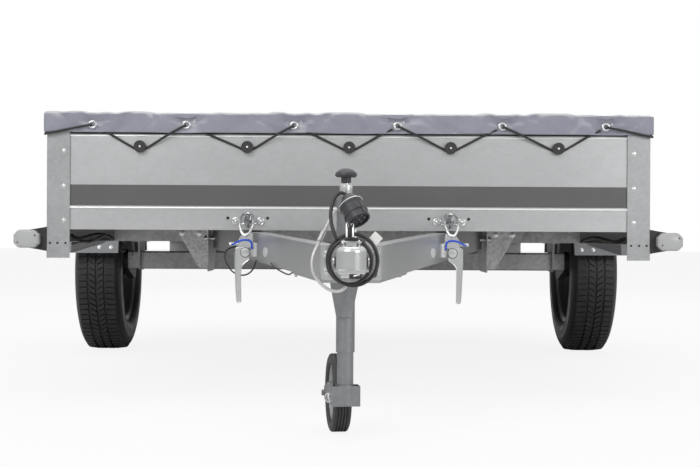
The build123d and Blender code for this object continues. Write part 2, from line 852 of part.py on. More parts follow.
def catches():
    plates = []
    loops = []
    w = catch_width / 2
    y1 = front_face_y - seat_gap
    y0 = y1 - catch_t
    for x in (-catch_x, catch_x):
        plate = prism_y(
            [
                (x - w, catch_z - 8),
                (x - w, catch_z + 4),
                (x - 14, catch_z + 13),
                (x + 14, catch_z + 13),
                (x + w, catch_z + 4),
                (x + w, catch_z - 8),
                (x + 14, catch_z - 13),
                (x - 14, catch_z - 13),
            ],
            y0,
            y1,
        )
        hook = box(x - 6, x + 6, y0 - 14, y0 + 0.5, catch_z - 2, catch_z + 2)
        hook += box(x - 6, x + 6, y0 - 14, y0 - 11.5, catch_z - 2, catch_z + 10)
        plates.append(plate + hook)
        top = Vector(x, y0 - 7, catch_z + 2 + loop_r + seat_gap)
        foot = Vector(x, latch_y - 4, latch_z + latch_rise + loop_r + seat_gap)
        r = loop_width / 2
        side = Vector(r, 0, 0)
        path = FilletPolyline(top - side, top + side, foot + side * 0.8, foot - side * 0.8, radius=9, close=True)
        ring = sweep(Plane(origin=path @ 0, z_dir=path % 0) * Circle(loop_r), path)
        loops.append(ring)
    add("catch_plates", *plates)
    add("latch_loops", *loops)


def lamps():
    octagon = []
    w, h, c = lamp_width / 2, lamp_height / 2, lamp_corner
    for sx, sz in ((1, 1), (-1, 1), (-1, -1), (1, -1)):
        pair = [(sx * w, sz * (h - c)), (sx * (w - c), sz * h)]
        octagon += pair if sx * sz > 0 else pair[::-1]
    x = half + lamp_gap + w
    outline = [(x + px, lamp_z + pz) for px, pz in octagon]
    lamp = prism_y(outline, -lamp_depth, 0)
    lamp = chamfer(lamp.faces().sort_by(Axis.Y)[0].edges(), lamp_chamfer)
    add("marker_lamps", *both_sides(lamp))
    z1, z0 = lamp_z + outrigger_height / 2, lamp_z - outrigger_height / 2
    inner = half + seat_gap
    plate = prism_y(
        [(inner, z1), (x + w - 6, lamp_z + h - 4), (x + w - 6, lamp_z - h + 4), (inner, z0)],
        seat_gap,
        seat_gap + outrigger_t,
    )
    plate += box(inner, inner + outrigger_t, seat_gap, post_depth - 4, z0, z1)
    add("lamp_brackets", *both_sides(plate))


def tailgate():
    """The drop-down rear wall, hung on three pins under its foot."""
    y = rear_y - front_face_y
    width = half - post_width - gate_gap
    outline = [(y - v, z) for v, z in wall_outline(0, wall_top - 1, wall_bottom)]
    gate = prism_x(outline, -width, width)
    knuckles = []
    for x in hinge_stations:
        gate += box(x - 12, x + 12, gate_axis_y - 3, gate_axis_y + 3, gate_axis_z, wall_bottom + 1)
        gate += rod((x - 26, gate_axis_y, gate_axis_z), (x + 26, gate_axis_y, gate_axis_z), hinge_pin_r)
        for side in (-1, 1):
            near, far = sorted((x + side * 14, x + side * 24))
            knuckle = rod((near, gate_axis_y, gate_axis_z), (far, gate_axis_y, gate_axis_z), hinge_eye_r)
            knuckle += box(near, far, rear_cross_y + cross_width + seat_gap, gate_axis_y, gate_axis_z - hinge_eye_r,
                           gate_axis_z - 1)
            knuckle -= rod((near - 1, gate_axis_y, gate_axis_z), (far + 1, gate_axis_y, gate_axis_z),
                           hinge_pin_r + hinge_fit)
            knuckles.append(knuckle)
    add("tailgate", gate)
    x0 = half - post_width - gate_gap
    latch = prism_x([(y + seat_gap, gate_latch_z - 20), (y + seat_gap, gate_latch_z + 20), (y + seat_gap + 2, gate_latch_z + 20),
                     (y + seat_gap + 2, gate_latch_z - 20)], x0 - 62, x0 - 8)
    latch += box(x0 - 40, x0 - 28, y + 1, rear_y + 3, gate_latch_z - 8, gate_latch_z + 8)
    hook = face_of([(x0 - 34, -7), (x0 + 26, -7), (x0 + 26, -16), (x0 + 34, -16), (x0 + 34, 7), (x0 - 34, 7)])
    latch += extrude(Pos(0, rear_y + seat_gap, gate_latch_z) * Rot(90, 0, 0) * hook, gate_latch_t, dir=(0, 1, 0))
    latch += rod((x0 - 34, rear_y + 1, gate_latch_z), (x0 - 34, rear_y + 8, gate_latch_z), 9)
    latch += box(x0 - 39, x0 - 29, rear_y + 4, rear_y + 10, gate_latch_z - 62, gate_latch_z)
    add("tailgate_latches", *both_sides(latch))
    add("tailgate_hinges", *knuckles)


def tail_lights():
    y = bar_y
    low = tail_bar_z - tail_bar_height
    line = [(y - tail_bar_fold, tail_bar_z), (y + tail_bar_t, tail_bar_z), (y + tail_bar_t, low),
            (y - tail_bar_fold, low)]
    bar = prism_x(sheet_outline(line, tail_bar_t), -half + 10, half - 10)
    for x in (-tail_strap_x, tail_strap_x):
        strap = [
            (rear_cross_y + cross_width + seat_gap, rail_bottom + 18),
            (rear_cross_y + cross_width + seat_gap + 3, rail_bottom + 18),
            (rear_cross_y + cross_width + seat_gap + 3, tail_bar_z - tail_bar_t),
            (rear_cross_y + cross_width + seat_gap, tail_bar_z - tail_bar_t),
        ]
        bar += prism_x(strap, x - 20, x + 20)
    add("tail_light_bar", bar)
    x = half - 30 - tail_lamp_width / 2
    z = tail_bar_z - tail_bar_height / 2
    lamp = Pos(x, y + tail_bar_t + seat_gap + tail_lamp_depth / 2, z) * Box(
        tail_lamp_width, tail_lamp_depth, tail_lamp_height
    )
    lamp = fillet(lamp.faces().sort_by(Axis.Y)[-1].edges(), 5)
    add("tail_lamps", *both_sides(lamp))


def cover():
    out = half + cover_overhang
    top = wall_top + seat_gap
    y0 = -cover_overhang
    y1 = rear_y - cover_flap
    shell = box(-out, out, y0, y1 - seat_gap, cover_hem, cover_top)
    shell -= box(-out + cover_t, out - cover_t, y0 + cover_t, y1 + 10, cover_hem - 10, top)
    for x, hem_y, turn in hem_eyelets():
        shell -= Pos(x, hem_y, eyelet_z) * Rot(0, 0, turn) * Rot(90, 0, 0) * Cylinder(eyelet_hole_r, 12)
    add("cover", shell)
    y2 = rear_y + cover_overhang
    flap = box(-out, out, y1, y2, cover_hem, cover_top)
    flap -= box(-out + cover_t, out - cover_t, y1 - 5, y2 - cover_t, cover_hem - 10, top)
    for x in eyelet_x:
        flap -= Pos(-x, y2, eyelet_z) * Rot(90, 0, 0) * Cylinder(eyelet_hole_r, 12)
    add("cover_rear_flap", flap)


def hem_eyelets():
    """Place and turn of each eyelet in the hem of the front and of the two long sides."""
    out = half + cover_overhang
    places = [(x, -cover_overhang, 0) for x in eyelet_x]
    for n in range(side_eyelets):
        y = side_eyelet_start + n * side_pitch
        places += [(-out, y, 90), (out, y, 90)]
    return places


def loop_round(button, left, right):
    """One stretch of lacing: from an eyelet or from behind the hem, round the stem of a button and back up.
    Each end is (distance along the hem, in_front). Points are (along, out, up)."""
    r = cord_r
    front = cover_overhang + r + seat_gap
    behind = cover_overhang - cover_t - r - seat_gap
    low = button_z - stem_in_button - r - seat_gap
    near = r + seat_gap - front_face_y
    points = []
    for (end, in_front), side in ((left, -1), (right, 1)):
        stand = front if in_front else behind
        lift = cover_hem - 3
        share = (eyelet_z - lift) / (eyelet_z - low)
        slack = 1.6 if in_front else 0
        hem = (end + (button - end) * share, stand + slack, lift)
        foot = (button + side * 5, near, low)
        clear = (button + side * (button_r + 2 * r), near, low + 0.54 * (button_r + 2 * r - 5))
        if in_front:
            leg = [(end, stand, eyelet_z), hem, clear, foot]
        else:
            leg = [(end + (button - end) * share * 0.3, stand, eyelet_z - 8), hem, clear, foot]
        points += leg if side < 0 else leg[::-1]
    return points


def lace_row(buttons, ends, place):
    """Buttons and lacing along one wall. place turns (along, out, up) into a point of the trailer."""
    cords, knobs = [], []
    for button, (left, right) in zip(buttons, ends):
        points = [place(*p) for p in loop_round(button, left, right)]
        path, _ = cord_path(points)
        cords.append(sweep(Plane(origin=path @ 0, z_dir=path % 0) * Circle(cord_r), path))
        base = -front_face_y + seat_gap
        knob = rod(place(button, base, button_z), place(button, base + button_stem, button_z), stem_in_button)
        knob += rod(place(button, base + button_stem - 0.5, button_z), place(button, base + button_h, button_z), button_r)
        knobs.append(knob)
    return cords, knobs


def lacing():
    e = eyelet_x
    ends = [
        ((e[0], False), (e[1], True)),
        ((e[1], False), (e[2], True)),
        ((e[2], False), (e[3], False)),
        ((e[3], True), (e[4], False)),
        ((e[4], True), (e[5], False)),
    ]
    cords, knobs = lace_row(button_x, ends, lambda a, o, z: (a, -o, z))
    rear_cords, rear_knobs = lace_row(button_x, ends, lambda a, o, z: (-a, rear_y + o, z))
    stations = [side_eyelet_start + n * side_pitch for n in range(side_eyelets)]
    side_middles = [(a + b) / 2 for a, b in zip(stations, stations[1:])]
    side_ends = [((a, False), (b, True)) for a, b in zip(stations, stations[1:])]
    for side in (-1, 1):
        more, extra = lace_row(side_middles, side_ends, lambda a, o, z: (side * (half + o), a, z))
        cords += more
        knobs += extra
    add("lacing_cord", *cords)
    add("lacing_buttons", *knobs)
    add("lacing_cord_rear", *rear_cords)
    add("lacing_buttons_rear", *rear_knobs)


def cord_path(points):
    """Straight runs joined by tangent arcs, each arc as large as its two runs allow."""
    points = [Vector(*p) for p in points]
    radii = []
    for a, b, c in zip(points, points[1:], points[2:]):
        turn = math.radians((b - a).get_angle(c - b))
        radii.append(0.45 * min((b - a).length, (c - b).length) / math.tan(turn / 2))
    return FilletPolyline(*points, radius=radii), radii


def cord_tube(name, points, radius):
    path, radii = cord_path(points)
    tube = sweep(Plane(origin=path @ 0, z_dir=path % 0) * Circle(radius), path)
    ratio = tube.volume / (math.pi * radius**2 * path.length)
    print(name, "length", round(path.length), "volume ratio", round(ratio, 4), "radii", [round(r) for r in radii])
    add(name, tube)


def lead():
    coil = Pos(0, coil_y, coil_z) * Rot(90, 0, 0) * Torus(coil_r, coil_bundle_r)
    add("lead_coil", coil)
    along = Vector(math.sin(math.radians(plug_tilt)), 0, -math.cos(math.radians(plug_tilt)))
    middle = Vector(plug_x, plug_y, plug_z)
    mouth = middle + along * (plug_length / 2)
    tail = middle - along * (plug_length / 2)
    plug = rod(tuple(middle - along * 6), tuple(mouth), plug_r)
    plug += rod(tuple(middle - along * 20), tuple(middle - along * 5), plug_r - 5)
    plug += rod(tuple(tail), tuple(middle - along * 19), plug_r - 12)
    plug -= rod(tuple(mouth - along * 3), tuple(mouth + along), plug_r - 3)
    add("lead_plug", plug)
    cord_tube("lead_tail", lead_route, lead_r)
    rise = parts["lead_tail"]
    cord_tube("lead_tail", lead_entry, lead_r)
    parts["lead_tail"] += rise


def breakaway_cable():
    cord_tube("breakaway_cable", safety_route, safety_r)
    a, b = Vector(*safety_route[3]), Vector(*safety_route[4])
    along = (b - a).normalized()
    middle = (a + b) / 2
    start, end = middle - along * (ferrule_length / 2), middle + along * (ferrule_length / 2)
    ring = rod(tuple(start), tuple(end), ferrule_r) - rod(tuple(start - along), tuple(end + along), safety_r + 0.9)
    add("cable_ferrule", ring)


def harness():
    cord_tube("drawbar_harness", harness_route, harness_r)


def pin_cords():
    """The cord of each latch pin, from the pin's end over the housing to its inner side."""
    x, y, z = latch_x, latch_y, latch_z
    w = latch_width / 2
    right = [
        (x + w + 16, y + 9.5, z + 20),
        (x + w + 14, y + 2, z + 19),
        (x + w + 8, y - 2.5, z + 22),
        (x + w - 2, y - 2.6, z + 28),
        (x, y - 2.6, z + 31),
        (x - w + 4, y - 2.6, z + 28),
        (x - w + 1, y - 2.6, z + 18),
        (x - w + 2, y - 2.6, z + 8),
    ]
    cord_tube("pin_cord_right", right, pin_cord_r)
    cord_tube("pin_cord_left", [(-px, py, pz) for px, py, pz in right], pin_cord_r)


front_wall()
side_walls()
corner_posts()
floor_board()
chassis()
hangers()
pivot_bolts()
axle()
swing_arms()
wheels()
mudguards()
drawbar()
nose()
coupling()
jack()
caster()
latches()
catches()
lamps()
tailgate()
tail_lights()
cover()
lacing()
lead()
breakaway_cable()
harness()
pin_cords()

os.makedirs("parts", exist_ok=True)
for name, shapes in parts.items():
    moved = [Pos(0, -y_middle, -floor_z) * s for s in shapes]
    whole = moved[0] if len(moved) == 1 else Compound(children=moved)
    export_step(whole, f"parts/{name}.step")
print("y_middle", round(y_middle, 3), "pivot_z", round(pivot_z, 3))
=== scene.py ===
import bpy
import json
import math
import random
from mathutils import Matrix, Vector


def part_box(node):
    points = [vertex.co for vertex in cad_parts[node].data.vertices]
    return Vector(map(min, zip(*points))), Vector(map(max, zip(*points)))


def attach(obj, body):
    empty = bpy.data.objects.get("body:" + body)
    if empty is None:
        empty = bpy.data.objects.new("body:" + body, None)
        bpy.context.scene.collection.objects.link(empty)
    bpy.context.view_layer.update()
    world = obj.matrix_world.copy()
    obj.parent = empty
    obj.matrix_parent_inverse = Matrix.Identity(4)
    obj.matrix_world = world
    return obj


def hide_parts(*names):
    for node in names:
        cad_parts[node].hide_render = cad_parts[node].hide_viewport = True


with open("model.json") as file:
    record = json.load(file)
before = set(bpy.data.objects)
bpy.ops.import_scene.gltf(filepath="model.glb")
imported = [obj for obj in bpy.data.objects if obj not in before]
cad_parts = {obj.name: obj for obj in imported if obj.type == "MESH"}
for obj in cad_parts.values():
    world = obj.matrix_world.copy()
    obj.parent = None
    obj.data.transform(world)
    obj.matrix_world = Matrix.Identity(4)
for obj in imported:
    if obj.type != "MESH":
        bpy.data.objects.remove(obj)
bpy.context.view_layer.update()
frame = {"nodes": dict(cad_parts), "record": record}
nodes = frame["nodes"]
print("frame loaded,", len(nodes), "nodes")

middle = 0.75665  # front wall to the middle of the whole length
frontward, rearward = (0, -1, 0), (0, 1, 0)


def at(x, y, z):
    return Vector((x / 1000, y / 1000 - middle, z / 1000))  # from workshop millimetres behind the front wall


def clearSelection():
    bpy.ops.object.select_all(action="DESELECT")


def pick(*pieces):
    clearSelection()
    for piece in pieces:
        piece.select_set(True)
    bpy.context.view_layer.objects.active = pieces[0]


def settle(piece, name, finish, body, smooth=35):
    pick(piece)
    for modifier in list(piece.modifiers):
        bpy.ops.object.modifier_apply(modifier=modifier.name)
    bpy.ops.object.transform_apply(location=True, rotation=True, scale=True)
    bpy.ops.object.shade_smooth_by_angle(angle=math.radians(smooth))
    piece.name = piece.data.name = name
    piece.data.materials.clear()
    piece.data.materials.append(finish)
    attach(piece, body)
    return piece


def primitive(make, scale=(1, 1, 1), **sizes):
    clearSelection()
    make(**sizes)
    piece = bpy.context.object
    piece.scale = scale
    bpy.ops.object.transform_apply(location=True, rotation=True, scale=True)
    return piece


def soften(piece, width, segments=3, angle=30):
    pick(piece)
    bevel = piece.modifiers.new("soften", "BEVEL")
    bevel.width = width
    bevel.segments = segments
    bevel.limit_method = "ANGLE"
    bevel.angle_limit = math.radians(angle)
    bpy.ops.object.modifier_apply(modifier="soften")
    return piece


def bar(start, end, radius, sides=32, bevel=0.0):
    aim = (end - start).to_track_quat("Z", "Y").to_euler()
    piece = primitive(
        bpy.ops.mesh.primitive_cylinder_add, vertices=sides, radius=radius, depth=(end - start).length,
        location=(start + end) / 2, rotation=aim
    )
    return soften(piece, bevel) if bevel else piece


def block(low, high, bevel=0.0):
    low, high = Vector(low), Vector(high)
    piece = primitive(bpy.ops.mesh.primitive_cube_add, high - low, size=1, location=(low + high) / 2)
    return soften(piece, bevel) if bevel else piece


def hoop(radius, wire, around=36, sides=8):
    return primitive(
        bpy.ops.mesh.primitive_torus_add, major_radius=radius, minor_radius=wire, major_segments=around,
        minor_segments=sides
    )


def joined(pieces):
    pick(*pieces)
    if len(pieces) > 1:
        bpy.ops.object.join()
    return bpy.context.object


def copyTo(template, matrix):
    piece = template.copy()
    piece.data = template.data.copy()
    bpy.context.scene.collection.objects.link(piece)
    piece.data.transform(matrix)
    return piece


def weld(piece):
    pick(piece)
    bpy.ops.object.mode_set(mode="EDIT")
    bpy.ops.mesh.select_all(action="SELECT")
    bpy.ops.mesh.remove_doubles(threshold=0.000002)
    bpy.ops.mesh.normals_make_consistent(inside=False)
    bpy.ops.object.mode_set(mode="OBJECT")
    return piece


def newCurve(name, kind, points, closed=False, flat=False):
    data = bpy.data.curves.new(name, "CURVE")
    data.dimensions = "2D" if flat else "3D"
    line = data.splines.new(kind)
    line.points.add(len(points) - 1)
    for spot, place in zip(line.points, points):
        spot.co = (*place, 1)
    line.use_cyclic_u = closed
    return data, line


def placed(name, data):
    piece = bpy.data.objects.new(name, data)
    bpy.context.scene.collection.objects.link(piece)
    return piece


def curveMesh(data):
    pick(placed("drawn", data))
    bpy.ops.object.convert(target="MESH")
    return bpy.context.object


def roundCurve(name, points, radius, sides, steps, closed=False):
    data, line = newCurve(name, "NURBS", points, closed)
    data.bevel_depth = radius
    data.bevel_resolution = sides
    data.resolution_u = steps
    data.use_fill_caps = True
    line.order_u = 3
    line.use_endpoint_u = not closed
    return data


def strand(points, radius, closed=False, sides=3):
    return weld(curveMesh(roundCurve("strand", points, radius, sides, 6, closed)))


def flatPlate(outline, thick, bevel=0.0):
    data, line = newCurve("outline", "POLY", [(x, y, 0) for x, y in outline], True, True)
    data.fill_mode = "BOTH"
    data.extrude = thick / 2 - bevel
    data.bevel_depth = bevel
    data.bevel_resolution = 2
    data.offset = -bevel
    return weld(curveMesh(data))


def lathe(profile, steps=48):
    piece = curveMesh(newCurve("profile", "POLY", [(radius, 0, along) for radius, along in profile])[0])
    spin = piece.modifiers.new("spin", "SCREW")
    spin.axis = "Z"
    spin.steps = spin.render_steps = steps
    spin.use_merge_vertices = True
    pick(piece)
    bpy.ops.object.modifier_apply(modifier="spin")
    return weld(piece)


def inMetres(outline):
    return [(u / 1000, v / 1000) for u, v in outline]


def facing(direction):
    return Vector(direction).to_track_quat("Z", "Y").to_matrix().to_4x4()


def moved(piece, place, direction=None, turn=0.0):
    matrix = Matrix.Translation(place)
    if direction is not None:
        matrix = matrix @ facing(direction)
    piece.data.transform(matrix @ Matrix.Rotation(turn, 4, "Z"))
    return piece


def discard(piece):
    pick(piece)
    bpy.ops.object.delete()


def give(tree, socket, value):
    if isinstance(value, bpy.types.NodeSocket):
        tree.links.new(value, socket)
    else:
        socket.default_value = value


def addNode(tree, kind, settings=None, values=None):
    node = tree.nodes.new("ShaderNode" + kind)
    for key, value in (settings or {}).items():
        setattr(node, key, value)
    for key, value in (values or {}).items():
        give(tree, node.inputs[key], value)
    return node


def mathOf(tree, operation, *values):
    return addNode(tree, "Math", {"operation": operation}, dict(enumerate(values))).outputs[0]


def newGroup(name, inputs, outputs):
    group = bpy.data.node_groups.new(name, "ShaderNodeTree")
    for socketName, value in inputs.items():
        kind = "Vector" if value is None else "Float" if isinstance(value, float) else "Color"
        socket = group.interface.new_socket(name=socketName, in_out="INPUT", socket_type="NodeSocket" + kind)
        if value is not None:
            socket.default_value = value
    for socketName, kind in outputs.items():
        group.interface.new_socket(name=socketName, in_out="OUTPUT", socket_type="NodeSocket" + kind)
    return group, group.nodes.new("NodeGroupInput").outputs, group.nodes.new("NodeGroupOutput").inputs


def buildSpangle():
    group, given, out = newGroup(
        "zincSpangle",
        {
            "Vector": None, "Colour": (0.5, 0.5, 0.5, 1), "Scale": 60.0, "Contrast": 0.12, "Cloud": 0.1,
            "Roughness": 0.4
        },
        {"Colour": "Color", "Roughness": "Float", "Height": "Float"},
    )
    cells = addNode(
        group, "TexVoronoi", {"feature": "F1"}, {"Vector": given["Vector"], "Scale": given["Scale"]}
    )
    fine = addNode(group, "TexNoise", None, {"Vector": given["Vector"], "Scale": 700.0, "Detail": 2.0})
    cloud = addNode(group, "TexNoise", None, {"Vector": given["Vector"], "Scale": 5.0, "Detail": 3.0})
    grey = addNode(group, "SeparateColor", None, {"Color": cells.outputs["Color"]})
    cellShare = mathOf(
        group, "MULTIPLY", mathOf(group, "SUBTRACT", grey.outputs["Red"], 0.5), given["Contrast"]
    )
    cloudShare = mathOf(
        group, "MULTIPLY", mathOf(group, "SUBTRACT", cloud.outputs["Fac"], 0.5), given["Cloud"]
    )
    fineShare = mathOf(group, "MULTIPLY_ADD", fine.outputs["Fac"], 0.06, -0.03)
    patches = mathOf(group, "ADD", cellShare, cloudShare)
    height = mathOf(group, "ADD", patches, fineShare)
    gain = mathOf(group, "ADD", height, 1.0)
    shade = addNode(group, "VectorMath", {"operation": "SCALE"}, {0: given["Colour"], "Scale": gain})
    give(group, out["Colour"], shade.outputs[0])
    give(group, out["Roughness"], mathOf(group, "MULTIPLY_ADD", patches, 0.6, given["Roughness"]))
    give(group, out["Height"], height)
    return group


def buildDust():
    group, given, out = newGroup(
        "roadDust",
        {
            "Vector": None, "Colour": (0.1, 0.1, 0.1, 1), "Dust": (0.3, 0.28, 0.25, 1), "Amount": 0.2,
            "Scale": 30.0, "Roughness": 0.6
        },
        {"Colour": "Color", "Roughness": "Float"},
    )
    noise = addNode(
        group, "TexNoise", None,
        {"Vector": given["Vector"], "Scale": given["Scale"], "Detail": 6.0, "Roughness": 0.65}
    )
    patches = addNode(
        group, "MapRange", None, {"Value": noise.outputs["Fac"], "From Min": 0.42, "From Max": 0.75}
    )
    mask = mathOf(group, "MULTIPLY", patches.outputs[0], given["Amount"])
    mix = addNode(
        group, "Mix", {"data_type": "RGBA"}, {"Factor": mask, "A": given["Colour"], "B": given["Dust"]}
    )
    give(group, out["Colour"], mix.outputs["Result"])
    give(group, out["Roughness"], mathOf(group, "MULTIPLY_ADD", mask, 0.3, given["Roughness"]))
    return group


spangle = buildSpangle()
dust = buildDust()


def newFinish(name, metallic=0.0, specular=0.5, coat=0.0):
    finish = bpy.data.materials.new(name)
    finish.use_nodes = True
    tree = finish.node_tree
    shader = tree.nodes["Principled BSDF"].inputs
    shader["Metallic"].default_value = metallic
    shader["Specular IOR Level"].default_value = specular
    shader["Coat Weight"].default_value = coat
    shader["Coat Roughness"].default_value = 0.1
    return finish, tree, shader, addNode(tree, "TexCoord").outputs


def addSkin(tree, shader, group, spots, values):
    skin = addNode(tree, "Group", {"node_tree": group}, {"Vector": spots, **values})
    give(tree, shader["Base Color"], skin.outputs["Colour"])
    give(tree, shader["Roughness"], skin.outputs["Roughness"])
    return skin


def addBump(tree, shader, height, strength, distance):
    bump = addNode(tree, "Bump", None, {"Strength": strength, "Distance": distance, "Height": height})
    give(tree, shader["Normal"], bump.outputs["Normal"])


def zincFinish(name, colour, scale, contrast, cloud, roughness, metallic, bump=0.15, stretch=(1, 1, 1)):
    finish, tree, shader, place = newFinish(name, metallic)
    lay = addNode(tree, "Mapping", None, {"Vector": place["Object"], "Scale": stretch})
    values = {
        "Colour": (*colour, 1), "Scale": scale, "Contrast": contrast, "Cloud": cloud, "Roughness": roughness
    }
    skin = addSkin(tree, shader, spangle, lay.outputs["Vector"], values)
    addBump(tree, shader, skin.outputs["Height"], bump, 0.001)
    return finish


def plainFinish(
    name, colour, dustColour, amount, scale, roughness, metallic=0.0, coat=0.0, bump=0.1, grain=600.0
):
    finish, tree, shader, place = newFinish(name, metallic, coat=coat)
    values = {
        "Colour": (*colour, 1), "Dust": (*dustColour, 1), "Amount": amount, "Scale": scale,
        "Roughness": roughness
    }
    addSkin(tree, shader, dust, place["Object"], values)
    fine = addNode(tree, "TexNoise", None, {"Vector": place["Object"], "Scale": grain, "Detail": 3.0})
    addBump(tree, shader, fine.outputs["Fac"], bump, 0.0006)
    return finish


cloth = {
    "colour": (0.30, 0.305, 0.37, 1),
    "worn": (0.40, 0.405, 0.46, 1),
    # pale grey for the faces of the cloth that turn up: painted light from above
    "paintedTopLight": (0.68, 0.685, 0.70, 1),
    "threads": 160.0,
    "creases": 9.0,
}


def fabricFinish():
    finish, tree, shader, place = newFinish("tarpaulin", 0.0, 0.35)
    values = {"Colour": cloth["colour"], "Dust": cloth["worn"], "Amount": 0.5, "Scale": 6.0, "Roughness": 0.5}
    skin = addSkin(tree, shader, dust, place["Object"], values)
    slope = addNode(tree, "SeparateXYZ", None, {0: place["Normal"]})
    paintedTopLight = addNode(
        tree, "MapRange", None,
        {"Value": slope.outputs["Z"], "From Min": 0.12, "From Max": 0.65, "To Max": 0.85}
    )
    mix = addNode(
        tree, "Mix", {"data_type": "RGBA"},
        {"Factor": paintedTopLight.outputs[0], "A": skin.outputs["Colour"], "B": cloth["paintedTopLight"]}
    )
    give(tree, shader["Base Color"], mix.outputs["Result"])  # painted light: the faces that turn up are mixed towards a pale grey, for the light from above on the top of the cloth
    threads = []
    for direction in "XZ":
        settings = {"wave_type": "BANDS", "bands_direction": direction}
        values = {"Vector": place["Object"], "Scale": cloth["threads"], "Distortion": 0.3}
        threads.append(addNode(tree, "TexWave", settings, values))
    weave = mathOf(tree, "MULTIPLY", threads[0].outputs["Fac"], threads[1].outputs["Fac"])
    values = {
        "Vector": place["Object"], "Scale": cloth["creases"], "Detail": 3.0, "Roughness": 0.4,
        "Lacunarity": 2.1, "Offset": 0.7, "Distortion": 0.8
    }
    crease = addNode(tree, "TexNoise", {"noise_type": "RIDGED_MULTIFRACTAL"}, values)
    addBump(tree, shader, mathOf(tree, "MULTIPLY_ADD", weave, 0.12, crease.outputs["Fac"]), 0.7, 0.0065)
    return finish


# zinc: colour, cell scale, cell contrast, cloud, roughness, metallic, bump
# plain: colour, dust colour, dust amount, dust scale, roughness, metallic, coat, bump, grain
finishes = {
    "galvanised_sheet": zincFinish("galvanisedSheet", (0.40, 0.405, 0.41), 95.0, 0.07, 0.12, 0.42, 0.7, 0.05),
    "galvanised_tube": zincFinish("galvanisedTube", (0.33, 0.335, 0.34), 70.0, 0.2, 0.3, 0.44, 0.7, 0.2),
    "galvanised_casting": zincFinish(
        "galvanisedCasting", (0.30, 0.305, 0.31), 60.0, 0.3, 0.4, 0.5, 0.6, 0.35
    ),
    "bright_zinc": zincFinish("brightZinc", (0.62, 0.625, 0.63), 30.0, 0.03, 0.14, 0.24, 0.85, 0.0),
    "rim_paint": plainFinish("rimPaint", (0.15, 0.15, 0.155), (0.22, 0.22, 0.22), 0.25, 20.0, 0.3, 0.6),
    "tyre_rubber": plainFinish(
        "tyreRubber", (0.019, 0.019, 0.020), (0.055, 0.055, 0.055), 0.45, 25.0, 0.42, 0.0, 0.0, 0.15, 500.0
    ),
    "solid_tyre": plainFinish("solidTyre", (0.035, 0.035, 0.036), (0.09, 0.09, 0.09), 0.5, 40.0, 0.55),
    "black_plastic": plainFinish("blackPlastic", (0.035, 0.036, 0.04), (0.08, 0.08, 0.085), 0.3, 45.0, 0.42),
    "cover_fabric": fabricFinish(),
    "rubber": plainFinish("rubber", (0.025, 0.025, 0.026), (0.07, 0.07, 0.07), 0.3, 60.0, 0.6),
    "elastic_cord": plainFinish(
        "elasticCord", (0.022, 0.022, 0.024), (0.05, 0.05, 0.05), 0.4, 300.0, 0.6, 0.0, 0.0, 0.4, 1500.0
    ),
    "lamp_lens": plainFinish("lampLens", (0.46, 0.465, 0.465), (0.36, 0.36, 0.36), 0.3, 60.0, 0.22, 0.0, 0.3),
    "tail_lens": plainFinish("tailLens", (0.42, 0.015, 0.012), (0.25, 0.02, 0.02), 0.3, 60.0, 0.15, 0.0, 0.5),
    "plywood": plainFinish(
        "plywood", (0.10, 0.055, 0.03), (0.16, 0.10, 0.06), 0.5, 12.0, 0.55, 0.0, 0.0, 0.2, 200.0
    ),
    "cable_black": plainFinish("cableBlack", (0.02, 0.02, 0.021), (0.05, 0.05, 0.05), 0.3, 80.0, 0.38),
    "plug_plastic": plainFinish("plugPlastic", (0.04, 0.041, 0.045), (0.08, 0.08, 0.085), 0.3, 60.0, 0.4),
    "cable_clear": plainFinish("cableClear", (0.62, 0.62, 0.61), (0.45, 0.45, 0.44), 0.4, 90.0, 0.32, 0.3),
    "cord_blue": plainFinish("cordBlue", (0.004, 0.075, 0.66), (0.01, 0.1, 0.6), 0.3, 200.0, 0.45),
}
tubeZinc = finishes["galvanised_tube"]
brightZinc = finishes["bright_zinc"]
blackPlastic = finishes["black_plastic"]
panelSheet = zincFinish("panelSheet", (0.50, 0.505, 0.51), 120.0, 0.05, 0.14, 0.36, 0.7, 0.03, (0.6, 1, 1))
# painted light: a lighter zinc for the axle, its brackets and the cross members, to offset the shade under
# the box
axleZincPaintedLight = zincFinish("axleZincPaintedLight", (0.46, 0.465, 0.47), 90.0, 0.35, 1.2, 0.5, 0.5, 0.2)
# painted light: a lighter zinc for the drawbar hangers, to offset the shade under the box
hangerZincPaintedLight = zincFinish("hangerZincPaintedLight", (0.62, 0.625, 0.63), 150.0, 0.5, 0.3, 0.45, 0.5, 0.1)
# painted shade: a darker zinc for the mudguards, which face the key light
guardZincPaintedShade = zincFinish("guardZincPaintedShade", (0.20, 0.205, 0.21), 60.0, 0.12, 0.2, 0.5, 0.5, 0.05)
jackZinc = zincFinish("jackZinc", (0.24, 0.245, 0.25), 150.0, 0.12, 0.2, 0.42, 0.6, 0.05)
armZinc = zincFinish("armZinc", (0.47, 0.475, 0.48), 30.0, 0.03, 0.25, 0.34, 0.8, 0.0)
postZinc = zincFinish("postZinc", (0.385, 0.39, 0.395), 130.0, 0.1, 0.2, 0.4, 0.7, 0.05)
# pale zinc: the own colour of the hanger bolts, and painted highlight on the arm discs, the panel's top rim
# and the rib crest
paleZincAndHighlight = zincFinish("paleZincAndHighlight", (0.86, 0.865, 0.87), 150.0, 0.03, 0.06, 0.3, 0.6, 0.02)
darkChrome = zincFinish("darkChrome", (0.26, 0.265, 0.27), 60.0, 0.1, 0.3, 0.16, 0.95, 0.0)
